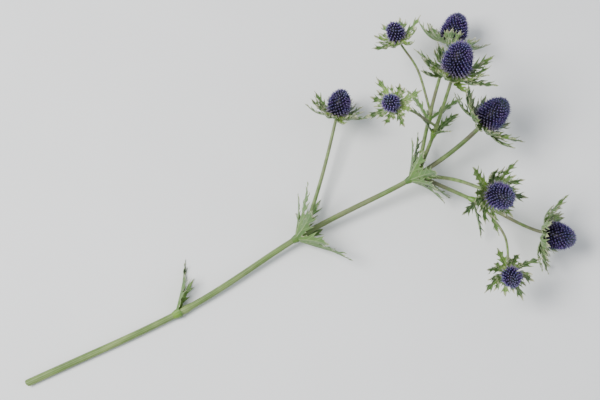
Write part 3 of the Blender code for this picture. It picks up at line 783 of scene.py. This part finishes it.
def flat_blade(blade, draw):
    """A blade's outline filled with triangles that follow its midrib and veins, in flat millimetres."""
    length = blade["length"] / MM
    left, tips, veins = fine_margin(blade, 1, draw)
    right, more_tips, more_veins = fine_margin(blade, -1, draw)
    ring = np.vstack([left, [[length, 0.0]], right[::-1]])
    margin = (ring, np.roll(ring, -1, axis=0))
    lines = [np.array([[s, 0.0] for s in np.arange(0.4, length - 1.2, BLADE_GRID)])]
    for start, middle, end in veins + more_veins:
        count = max(4, round(np.linalg.norm(end - start) / BLADE_GRID))
        lines.append(bend(start, middle, end, count)[1:])
    wide = np.abs(ring[:, 1]).max()
    rows = np.arange(-wide, wide, BLADE_GRID * 0.9)
    grid = np.array([(s + (k % 2) * BLADE_GRID / 2, u) for k, u in enumerate(rows)
                     for s in np.arange(0.2, length, BLADE_GRID)])
    grid = grid[inside(grid, ring)]
    grid = grid[distance_to(grid, *margin) > 0.38 * BLADE_GRID]
    grid = grid[distance_to(grid, *steps_of(lines)) > 0.42 * BLADE_GRID]
    edges = []
    count = len(ring)
    for line in lines:
        edges += [(count + k, count + k + 1) for k in range(len(line) - 1)]
        count += len(line)
    edges += [(k, (k + 1) % len(ring)) for k in range(len(ring))]
    points = [Vector(p) for p in np.vstack([ring, *lines, grid])]
    filled = delaunay_2d_cdt(points, edges, [], 0, 1e-4, False)
    flat = np.array([tuple(p) for p in filled[0]])
    within = inside(np.array([flat[list(face)].mean(axis=0) for face in filled[2]]), ring)
    faces = [tuple(face) for face, kept in zip(filled[2], within) if kept]
    tips = np.array(tips + more_tips + [np.array([length, 0.0])])
    marks = dict(vein=distance_to(flat, *steps_of(lines[1:])), edge=distance_to(flat, *margin),
                 needle=np.linalg.norm(flat[:, None] - tips, axis=2).min(axis=1))
    return flat, faces, marks


def grow_blade(growth, blade, draw):
    """Adds a blade with its grooved midrib, keeled underside, waved margin and lifted lobes."""
    flat, faces, marks = flat_blade(blade, draw)
    s, u = flat[:, 0] * MM, flat[:, 1] * MM
    middle = blade_points(blade, s, u)
    upper = -point_normals(middle, faces)
    share = s / blade["length"]
    marks.update(along=share, rib=np.abs(u) / MM)
    lifts = np.interp(share * 9 + np.sign(u) * 20, np.arange(-30, 30),
                      [draw.uniform(*LOBE_LIFT) for _ in range(60)])
    beyond = np.maximum(np.abs(u) - 0.8 * blade["wide"], 0)
    rim = np.clip(1 - marks["edge"] / WAVE_WIDTH, 0, 1)
    wave = np.sin(2 * math.pi * s / WAVE_LENGTH + draw.uniform(0, 6) + np.sign(u)) * WAVE_HEIGHT * rim
    middle = middle + upper * (lifts * beyond + wave * np.clip(share * 4, 0, 1))[:, None]
    core = np.exp(-(marks["rib"] / BLADE_CORE_WIDTH)**2) * (1 - 0.6 * share)
    half = BLADE_THICKNESS / 2 * (BLADE_RIM_SHARE + (1 - BLADE_RIM_SHARE) * core)
    half = half * np.clip(0.35 + marks["needle"] / 2.5, 0, 1)
    rib = np.exp(-(marks["rib"] / RIB_WIDTH)**2) * (1 - share)
    veined = np.exp(-(marks["vein"] / VEIN_WIDTH)**2) * 0.45
    top = middle + upper * (half - RIB_GROOVE * np.maximum(rib, veined))[:, None]
    under = middle - upper * (half + RIB_KEEL * np.maximum(rib, veined * 0.6))[:, None]
    top[:, 2] = np.maximum(top[:, 2], BLADE_THICKNESS * 0.55)
    under[:, 2] = np.maximum(under[:, 2], 0.0)
    count = len(flat)
    walls = [(two + count, one + count, one, two) for one, two in open_edges(faces)]
    growth.add(np.vstack([top, under]),
               [face[::-1] for face in faces] + [tuple(k + count for k in face) for face in faces] + walls,
               shade=draw.random(), upper=np.repeat([1.0, 0.0], count),
               **{name: np.tile(kept, 2) for name, kept in marks.items()})


def ring_wall(origin, way, rings, sides, frill=0.0, ribs=0):
    """A turned surface: rings of points at (radius, height) along a direction, with fine ribs."""
    points = []
    for k, (radius, height) in enumerate(rings):
        for turn in turns_round(sides):
            ribbed = 1 + (RIB_SHARE * math.cos(ribs * turn) if ribs else 0)
            rise = frill * math.sin(5 * turn) * k / len(rings)
            points.append(origin + side_frame(way, turn) * radius * ribbed + way * (height + rise))
    return points, ring_faces(len(rings), sides)


def inner_bracts(head, draw):
    """The short bracts that stand between the long ones, close under the flower head."""
    blades = []
    size = head["size"]
    for k in range(head["bracts"]):
        turn = 2 * math.pi * (k + 0.5) / head["bracts"] + math.radians(head["turn"])
        radial = side_frame(head["faces"], turn + draw.uniform(-0.1, 0.1))
        blades.append(dict(
            stem=head["faces"], radial=radial,
            origin=(head["centre"] + radial * RECEPTACLE_RADIUS * size * BRACT_ROOT_SHARE
                    + head["faces"] * 0.5 * MM),
            length=BRACT_LENGTH * size**0.75 * INNER_BRACT_SHARE * draw.uniform(0.85, 1.1),
            lean_base=math.radians(94), lean_tip=math.radians(draw.uniform(30, 62)),
            base=0.8 * MM * size**0.6, wide=1.25 * MM * size**0.5, lobe=3.6 * MM * size**0.6, pairs=2,
            fold=math.radians(draw.uniform(12, 26)), twist=math.radians(draw.uniform(-35, 35)),
            slip=draw.uniform(-0.02, 0.02)))
    return blades


def grow_bracts(head, number, finish, shift):
    """A head's bracts on their cup-shaped receptacle."""
    growth = Growth(*BLADE_VALUES)
    draw = random.Random(500 + number)
    radius, thick = RECEPTACLE_RADIUS * head["size"], head["thick"]
    low = head["centre"] - head["faces"] * thick / 2
    rings = [(out * radius, up * thick) for out, up in RECEPTACLE_PROFILE]
    growth.add(*ring_wall(low, head["faces"], rings, TURNED_SIDES, ribs=20), **PLAIN_TISSUE)
    for blade in head["blades"] + inner_bracts(head, draw):
        grow_blade(growth, blade, draw)
    growth.piece(head["owner"], finish, shift)


def grow_whorl(whorl, number, finish, shift):
    """The leaves of a whorl on the ribbed sheath that clasps the stem."""
    growth = Growth(*BLADE_VALUES)
    draw = random.Random(700 + number)
    low = whorl["centre"] - whorl["stem"] * COLLAR_HEIGHT / 2
    bore = whorl["bore"]
    rings = [(start + out * COLLAR_WALL, up * COLLAR_HEIGHT)
             for start, profile in ((bore - COLLAR_PLAY, SHEATH_ON_STEM), (bore, SHEATH_ON_BORE))
             for out, up in profile]
    growth.add(*ring_wall(low, whorl["stem"], rings, TURNED_SIDES, FRILL, 14), **PLAIN_TISSUE)
    for blade in whorl["blades"]:
        grow_blade(growth, blade, draw)
    growth.piece(whorl["name"], finish, shift)


def frame_along(way):
    """Two directions at right angles to way and to each other, the first one towards the pole."""
    first = np.array([0, 0, 1.0]) - way * way[2]
    first = unit(first if np.linalg.norm(first) > 1e-3 else np.array([1.0, 0, 0]))
    return first, np.cross(way, first)


def spindle(start, end, flat_side, kind, radius, sag=0.0):
    """A thin tapering part of a floret from start to end, and its colour's place at each point."""
    way = unit(end - start)
    across = unit(np.cross(way, flat_side))
    out = np.cross(across, way)
    length = np.linalg.norm(end - start)
    sides, rings = kind["sides"], kind["rings"]
    points = []
    for share, wide, deep in rings:
        middle = start + way * length * share + out * sag * math.sin(math.pi * share)
        wide, deep = across * (wide * radius), out * (deep * radius)
        points += [middle + wide * math.cos(turn) + deep * math.sin(turn) for turn in turns_round(sides)]
    points.append(end)
    top = (len(rings) - 1) * sides
    faces = ring_faces(len(rings), sides)
    faces += [(top + k, top + (k + 1) % sides, top + sides) for k in range(sides)]
    reach = np.array([share for share, _, _ in rings for _ in range(sides)] + [1.0])
    return points, faces, kind["reach"][0] + reach * kind["reach"][1]


def grow_floret(growth, way, size, draw, open_share, crown):
    """Adds one floret: a calyx with needle sepals round its pale bud, over a keeled spiny bracteole."""
    base = np.array(on_core(Vector(way), size))
    tip = np.array(spike_tip(Vector(way), size))
    out = unit(tip - base)
    base = base - out * CORE_DEPTH * size
    pole, across = frame_along(out)
    top = (way[2] - HEAD_LOWEST_DIRECTION) / (1 - HEAD_LOWEST_DIRECTION)
    kept = dict(shade=draw.random(), top=top, crown=crown)

    def add(*shape):
        """Adds one part of the floret."""
        points, faces, reach = spindle(*shape)
        growth.add(points, faces, reach=reach, **kept)

    wide = SPIKE_HALF_WIDTH * draw.uniform(0.85, 1.1)
    tip = tip + out * BRISTLE_OVERSHOOT * draw.uniform(-0.25, 1.0) * (1 - 0.65 * top)
    sway = (across * draw.uniform(-0.4, 0.4) + pole * draw.uniform(-0.45, 0.15)) * MM
    add(base - pole * 0.45 * MM, tip + sway, pole, BRACTEOLE, wide, SPIKE_SAG)
    start = base + pole * 0.15 * MM
    end = start + (out * CALYX_SHARE * np.linalg.norm(tip - base) + pole * 0.2 * MM)
    add(start, end, pole, CALYX, CALYX_RADIUS)
    rim = start + (end - start) * 0.88
    add(rim, rim + out * BUD_LENGTH, pole, BUD, BUD_RADIUS)
    spin = draw.uniform(0, 1.2)
    for turn in turns_round(SEPALS):
        side = pole * math.cos(spin + turn) + across * math.sin(spin + turn)
        root = rim + side * CALYX_RADIUS * 0.85
        peak = root + unit(out + side * 0.35) * SEPAL_LENGTH * draw.uniform(0.85, 1.15)
        add(root, peak, side, SEPAL, MM)
    if draw.random() < open_share:
        for turn in (spin + STAMENS_FROM, spin + STAMENS_FROM + STAMENS_APART):
            side = pole * math.cos(turn) + across * math.sin(turn)
            peak = rim + unit(out + side * 0.45) * STAMEN_LENGTH * draw.uniform(0.8, 1.1)
            add(rim, peak, side, STAMEN, STAMEN_RADIUS)


def grow_head(head, number, finish, shift):
    """A flower head: a dome set all over with florets in golden-angle spirals, the dome near-black as
    painted shade under them.
    """
    growth = Growth("reach", "shade", "top", "crown")
    draw = random.Random(900 + number)
    crown = draw.uniform(0.1, 1.0)
    size = head["size"]
    rings = [(HEAD_RADIUS * 0.5 * size * share, 0.0) for share in (0.02, 0.6, 1.0)]
    for z in np.linspace(HEAD_LOWEST_DIRECTION + 0.04, 0.9995, 22):
        core = on_core(Vector((math.sqrt(1 - z * z), 0, z)), size)
        rings.append((max(core.x - CORE_DEPTH * size, 0.05 * MM), core.z - CORE_DEPTH * size * max(z, 0)))
    # The dome takes reach 0, so the floret ramp paints it near-black as painted shade
    growth.add(*ring_wall(np.zeros(3), np.array([0, 0, 1.0]), rings, 36), shade=0.5, top=0.5)
    for way in golden_directions(round(FLORETS_ON_FULL_HEAD * size**2), HEAD_LOWEST_DIRECTION):
        stray = np.array([draw.uniform(-1, 1) for _ in range(3)]) * FLORET_STRAY
        grow_floret(growth, unit(np.array(way) + stray), size, draw, 0.35 if way.z < 0.75 else 0.1, crown)
    place = placed(head["base"], head["faces"])
    turn, origin = np.array(place.to_3x3()), np.array(place.translation)
    growth.points = [points @ turn.T + origin for points in growth.points]
    growth.piece("head_" + head["axis"], finish, shift)


def ridged_tube(name, axis, sides, collection):
    """An object for a closed ridged tube along an axis, in fine rings."""
    end = axis["along"][-1]
    points = []
    for s in np.linspace(0, end, max(4, round(end / STEM_RING)) + 1):
        centre, way, radius = at(axis, s), heading(axis, s), radius_at(axis, s)
        for turn in turns_round(sides):
            ridge = RIDGE_SHARE * math.cos(RIDGES * turn + RIDGE_SWAY * math.sin(s * RIDGE_SWAY_PACE))
            ridge += UNEVEN_SHARE * math.sin(s * UNEVEN_PACE + 3 * turn)
            points.append(tuple(centre + side_frame(way, turn) * radius * (1 + ridge)))
    points, faces = capped(points, sides)
    mesh = bpy.data.meshes.new(name)
    mesh.from_pydata(points, [], faces)
    obj = bpy.data.objects.new(name, mesh)
    collection.objects.link(obj)
    return obj


def joined_tubes(axes):
    """The mesh of all the tubes in one body."""
    branches = bpy.data.collections.new("branch_tubes")
    bpy.context.scene.collection.children.link(branches)
    trunk = ridged_tube("trunk_tube", axes["main"], TRUNK_SIDES, bpy.context.scene.collection)
    for name, axis in axes.items():
        if name != "main":
            ridged_tube(name + "_tube", axis, BRANCH_SIDES, branches)
    union = trunk.modifiers.new("Union", "BOOLEAN")
    union.operation = "UNION"
    union.operand_type = "COLLECTION"
    union.collection = branches
    union.solver = "MANIFOLD"
    bpy.context.view_layer.update()
    mesh = bpy.data.meshes.new_from_object(trunk.evaluated_get(bpy.context.evaluated_depsgraph_get()))
    for obj in [trunk, *branches.objects]:
        bpy.data.objects.remove(obj)
    bpy.data.collections.remove(branches)
    return mesh


def soften_forks(bm, axes):
    """Smooths the stem where its branches leave it."""
    spots = [Vector(axis["points"][0]) for name, axis in axes.items() if name != "main"]
    near = [v for v in bm.verts if min((v.co - spot).length for spot in spots) < FORK_SMOOTHING_REACH]
    for _ in range(FORK_SMOOTHING_ROUNDS):
        bmesh.ops.smooth_vert(bm, verts=near, factor=0.4, use_axis_x=True, use_axis_y=True, use_axis_z=True)


def cut_plane():
    """The middle of the slanting cut and the direction into the stem."""
    return (Vector((CUT_AT, 0, STEM_RADII[0])),
            Vector((math.cos(CUT_SLANT), 0, math.sin(CUT_SLANT))))


def cut_slanting(bm):
    """Cuts the lower end on the slant and closes it with rings that sink towards the pith."""
    middle, normal = cut_plane()
    cut = bmesh.ops.bisect_plane(bm, geom=bm.verts[:] + bm.edges[:] + bm.faces[:], dist=1e-7,
                                 plane_co=middle, plane_no=normal, clear_inner=True)
    across = normal.cross(Vector((0, 1, 0)))
    rim = [v for v in cut["geom_cut"] if isinstance(v, bmesh.types.BMVert)]
    rim.sort(key=lambda v: math.atan2((v.co - middle).y, (v.co - middle).dot(across)))
    outer = rim
    for share, depth in CUT_RINGS:
        inner = [bm.verts.new(middle + (v.co - middle) * share + normal * depth) for v in rim]
        for k in range(len(rim)):
            j = (k + 1) % len(rim)
            bm.faces.new((outer[k], outer[j], inner[j], inner[k]))
        outer = inner
    bm.faces.new(outer)
    bmesh.ops.recalc_face_normals(bm, faces=bm.faces)


def stem_values(mesh, axes):
    """The stem's point values: distance from the cut, ridge height, cut face and nearness to a fork."""
    places = [(axis, point, s) for axis in axes.values() for point, s in zip(axis["points"], axis["along"])]
    finder = KDTree(len(places))
    for k, (_, point, _) in enumerate(places):
        finder.insert(Vector(point), k)
    finder.balance()
    values = {name: np.zeros(len(mesh.vertices)) for name in ("along", "ridge", "cut_face", "node")}
    forks = [at(axis, s) for axis in axes.values() for s in axis["forks"]]
    middle, normal = cut_plane()
    for vert in mesh.vertices:
        axis, _, s = places[finder.find(vert.co)[1]]
        point = np.array(vert.co)
        ridge = np.linalg.norm(point - at(axis, s)) / radius_at(axis, s)
        near = min(np.linalg.norm(point - fork) for fork in forks)
        deep = (vert.co - middle).dot(normal)
        values["along"][vert.index] = point[0] / axes["main"]["tip"][0]
        values["ridge"][vert.index] = ridge
        values["node"][vert.index] = math.exp(-(near / NODE_REACH)**2)
        on_cut = point[0] < CUT_REACH and deep < CUT_HOLLOW + CUT_PLAY and ridge < CUT_RIM
        values["cut_face"][vert.index] = on_cut
    keep_values(mesh, values)


def grow_stem(axes, finish, shift):
    """The ridged stem with its branches and twigs in one body."""
    mesh = joined_tubes(axes)
    bm = bmesh.new()
    bm.from_mesh(mesh)
    soften_forks(bm, axes)
    cut_slanting(bm)
    bm.to_mesh(mesh)
    bm.free()
    stem_values(mesh, axes)
    points = np.array([v.co for v in mesh.vertices]) + shift
    points[:, 2] = np.maximum(points[:, 2], 0.0)
    mesh.vertices.foreach_set("co", points.ravel())
    mesh.materials.clear()
    dress(mesh, "stem", finish)


class Finish:
    """A Principled material and short calls that wire its nodes."""

    def __init__(self, name):
        self.material = bpy.data.materials.new(name)
        self.material.use_nodes = True
        self.nodes = self.material.node_tree.nodes
        self.place = self.node("TexCoord", "Object", {})

    def wire(self, value, socket):
        """Links a socket, or sets a plain value or colour."""
        if isinstance(value, bpy.types.NodeSocket):
            self.material.node_tree.links.new(value, socket)
        else:
            socket.default_value = (*value, 1) if socket.type == "RGBA" else value

    def node(self, kind, output, inputs, **settings):
        """The output of a new node, with its settings made and its inputs linked or set."""
        node = self.nodes.new("ShaderNode" + kind)
        for name, setting in settings.items():
            setattr(node, name, setting)
        for name, value in inputs.items():
            self.wire(value, node.inputs[name])
        return node.outputs[output]

    def value(self, name):
        """A point value of the mesh."""
        return self.node("Attribute", "Fac", {}, attribute_name=name)

    def noise(self, scale, detail, stretch=(1, 1, 1)):
        """Noise over the object's own coordinates."""
        place = self.node("Mapping", "Vector", {"Vector": self.place, "Scale": stretch})
        return self.node("TexNoise", "Fac", {"Vector": place, "Scale": scale, "Detail": detail})

    def cells(self, scale):
        """The distance to the walls between small cells."""
        return self.node("TexVoronoi", "Distance", {"Vector": self.place, "Scale": scale},
                         feature="DISTANCE_TO_EDGE")

    def ramp(self, factor, stops):
        """A colour ramp: (position, colour) for each stop."""
        colour = self.node("ValToRGB", "Color", {"Fac": factor})
        elements = colour.node.color_ramp.elements
        while len(elements) < len(stops):
            elements.new(1.0)
        for element, (position, tint) in zip(elements, stops):
            element.position = position
            element.color = (*tint, 1)
        return colour

    def span(self, value, low, high, to_low=0.0, to_high=1.0):
        """A value taken from one range to another, and held inside it."""
        ends = dict(enumerate((value, low, high, to_low, to_high)))
        return self.node("MapRange", "Result", ends, interpolation_type="SMOOTHSTEP")

    def plus(self, one, two):
        """Two values added."""
        return self.node("Math", "Value", {0: one, 1: two}, operation="ADD")

    def times(self, one, two):
        """Two values multiplied."""
        return self.node("Math", "Value", {0: one, 1: two}, operation="MULTIPLY")

    def layered(self, colour, *layers):
        """A colour with others mixed over it in turn: (share, colour) for each."""
        for share, tint in layers:
            colour = self.node("Mix", 2, {0: share, 6: colour, 7: tint}, data_type="RGBA")
        return colour

    def finished(self, colour, roughness, height=None, relief=0.0):
        """The material with its colour, its roughness and fine relief, where it has any."""
        inputs = self.nodes["Principled BSDF"].inputs
        self.wire(colour, inputs["Base Color"])
        self.wire(roughness, inputs["Roughness"])
        if relief:
            self.wire(self.node("Bump", "Normal", {"Distance": relief, "Height": height}), inputs["Normal"])
        return self.material


def leaf_finish(name, greens, underside, young, pale):
    """Green blade tissue: pale midrib and veins, a pale margin, straw-coloured needles, greyer below."""
    finish = Finish(name)
    fine, net, along = finish.noise(700, 2), finish.cells(1100), finish.value("along")
    tone = finish.plus(finish.times(finish.noise(75, 3), 0.65), finish.times(finish.value("shade"), 0.42))
    rib = finish.plus(finish.value("rib"), finish.times(along, 0.3))
    colour = finish.layered(
        finish.ramp(tone, greens),
        (finish.times(finish.span(along, 0.75, 0.08), finish.span(tone, 0.42, 0.66, 0.15, 0.85)), young),
        (finish.span(net, 0.0, 0.10, 0.22, 0.0), pale),
        (finish.span(finish.value("upper"), 0.4, 0.6, 0.70, 0.0), underside),
        (finish.span(finish.value("vein"), 0.05, 0.38, 0.45, 0.0), pale),
        (finish.span(rib, 0.12, 0.55, 0.8, 0.0), pale),
        (finish.span(finish.value("edge"), 0.02, 0.22, 0.55, 0.0), pale),
        (finish.span(finish.value("needle"), 0.3, SPINE_LENGTH, 0.95, 0.0), NEEDLE_STRAW))
    return finish.finished(colour, finish.span(fine, 0.3, 0.7, 0.32, 0.52),
                           finish.plus(finish.times(fine, 0.4), finish.times(net, 0.8)), 0.12 * MM)


def floret_finish():
    """Floret tissue: near-black painted shade in the depth, violet on the shafts and silver-lilac tips that
    are partly real colour and partly painted highlight.
    """
    finish = Finish("floret_tissue")
    reach, top = finish.value("reach"), finish.value("top")
    tone = finish.plus(finish.times(finish.value("shade"), 0.5), finish.noise(160, 2))
    crown = finish.times(finish.span(top, 0.74, 1.0, 0.0, 0.8), finish.span(reach, 0.3, 0.9, 1.0, 0.2))
    colour = finish.layered(
        # Ramp by reach: painted shade in the depth and painted highlight mixed into the pale tips
        finish.ramp(reach, FLORET_VIOLETS_PAINTED_SHADE_HIGHLIGHT),
        (finish.span(tone, 0.5, 1.0), finish.ramp(reach, FLORET_BLUES_PAINTED_SHADE_HIGHLIGHT)),
        (finish.times(crown, finish.value("crown")), CROWN_GREEN),
        (finish.times(finish.span(top, 0.30, 0.0, 0.0, 0.8), finish.span(reach, 0.35, 0.85)), SKIRT_LILAC))
    return finish.finished(colour, finish.span(finish.noise(1200, 2), 0.3, 0.7, 0.36, 0.60),
                           finish.noise(1500, 2), 0.08 * MM)


def stem_finish():
    """Stem tissue: green with paler ridges, a purple-brown flush towards the flowers and a pale cut."""
    finish = Finish("stem_tissue")
    ridge, patches = finish.value("ridge"), finish.noise(55, 3)
    streaks = finish.noise(260, 3, (0.12, 1, 1))
    flush = finish.times(finish.span(finish.value("along"), 0.35, 1.0, 0.05, 0.55),
                         finish.span(patches, 0.42, 0.62))
    bundles = finish.times(finish.span(finish.noise(1500, 1), 0.52, 0.62), 0.5)
    colour = finish.layered(
        finish.ramp(finish.plus(finish.times(streaks, 0.7), finish.times(patches, 0.4)), STEM_GREENS),
        (finish.span(ridge, 0.985, 1.045, 0.0, 0.5), RIDGE_GREEN),
        (flush, STEM_FLUSH),
        (finish.times(finish.value("node"), 0.35), NODE_GREEN),
        (finish.value("cut_face"), finish.layered(finish.ramp(ridge, PITH_TINTS), (bundles, BUNDLE_GREEN))))
    return finish.finished(colour, finish.span(finish.noise(800, 2), 0.3, 0.7, 0.38, 0.58),
                           finish.noise(600, 3, (0.2, 1, 1)), 0.15 * MM)


def lay_floor():
    """The matt, pale surface that the stem lies on, with the faintest mottling."""
    finish = Finish("pale_floor")
    bm = bmesh.new()
    bmesh.ops.create_grid(bm, x_segments=8, y_segments=8, size=4.0)
    mesh = bpy.data.meshes.new("floor")
    bm.to_mesh(mesh)
    bm.free()
    mesh.materials.append(finish.finished(finish.ramp(finish.noise(6, 2), FLOOR_GREYS),
                                          finish.span(finish.noise(40, 2), 0.3, 0.7, 0.75, 0.85)))
    floor = bpy.data.objects.new("floor", mesh)
    floor.location = (0, 0, -0.2 * MM)
    bpy.context.scene.collection.objects.link(floor)


def stand(obj, place, towards):
    """Puts a light or a camera at a place and points it in a direction."""
    obj.location = place
    obj.rotation_mode = "QUATERNION"
    obj.rotation_quaternion = towards.to_track_quat("-Z", "Y")
    bpy.context.scene.collection.objects.link(obj)


def light_scene():
    """Soft studio light: a wide key from the left, a weaker fill and an even pale surround."""
    for name, light in (("key", KEY_LIGHT), ("fill", FILL_LIGHT)):
        lamp = bpy.data.lights.new(name, "AREA")
        lamp.shape = "SQUARE"
        lamp.size = light["size"]
        lamp.energy = light["power"]
        lamp.color = light["colour"]
        stand(bpy.data.objects.new(name, lamp), light["place"], -Vector(light["place"]))
    world = bpy.data.worlds.new("studio")
    world.use_nodes = True
    surround = world.node_tree.nodes["Background"].inputs
    surround["Color"].default_value = SURROUND_COLOUR
    surround["Strength"].default_value = SURROUND_STRENGTH
    bpy.context.scene.world = world


def place_camera():
    """The camera, looking down on the lying stem."""
    turn, rise = math.radians(CAMERA_TURN), math.radians(CAMERA_ELEVATION)
    back = Vector((math.sin(turn) * math.cos(rise), -math.cos(turn) * math.cos(rise), math.sin(rise)))
    data = bpy.data.cameras.new("camera")
    data.lens = CAMERA_LENS
    camera = bpy.data.objects.new("camera", data)
    stand(camera, Vector(CAMERA_TARGET) + back * CAMERA_DISTANCE, -back)
    bpy.context.scene.camera = camera


def main():
    """Plans the plant and grows a fine piece in place of each of its solids."""
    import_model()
    place_camera()
    light_scene()
    lay_floor()
    axes, heads, whorls = plan_plant()
    shift = footprint_shift(heads)
    bract, leaf = leaf_finish("bract_tissue", **BRACT_TINTS), leaf_finish("leaf_tissue", **LEAF_TINTS)
    floret = floret_finish()
    grow_stem(axes, stem_finish(), shift)
    for number, head in enumerate(heads):
        grow_head(head, number, floret, shift)
        grow_bracts(head, number, bract, shift)
    for number, whorl in enumerate(whorls):
        grow_whorl(whorl, number, leaf, shift)


main()
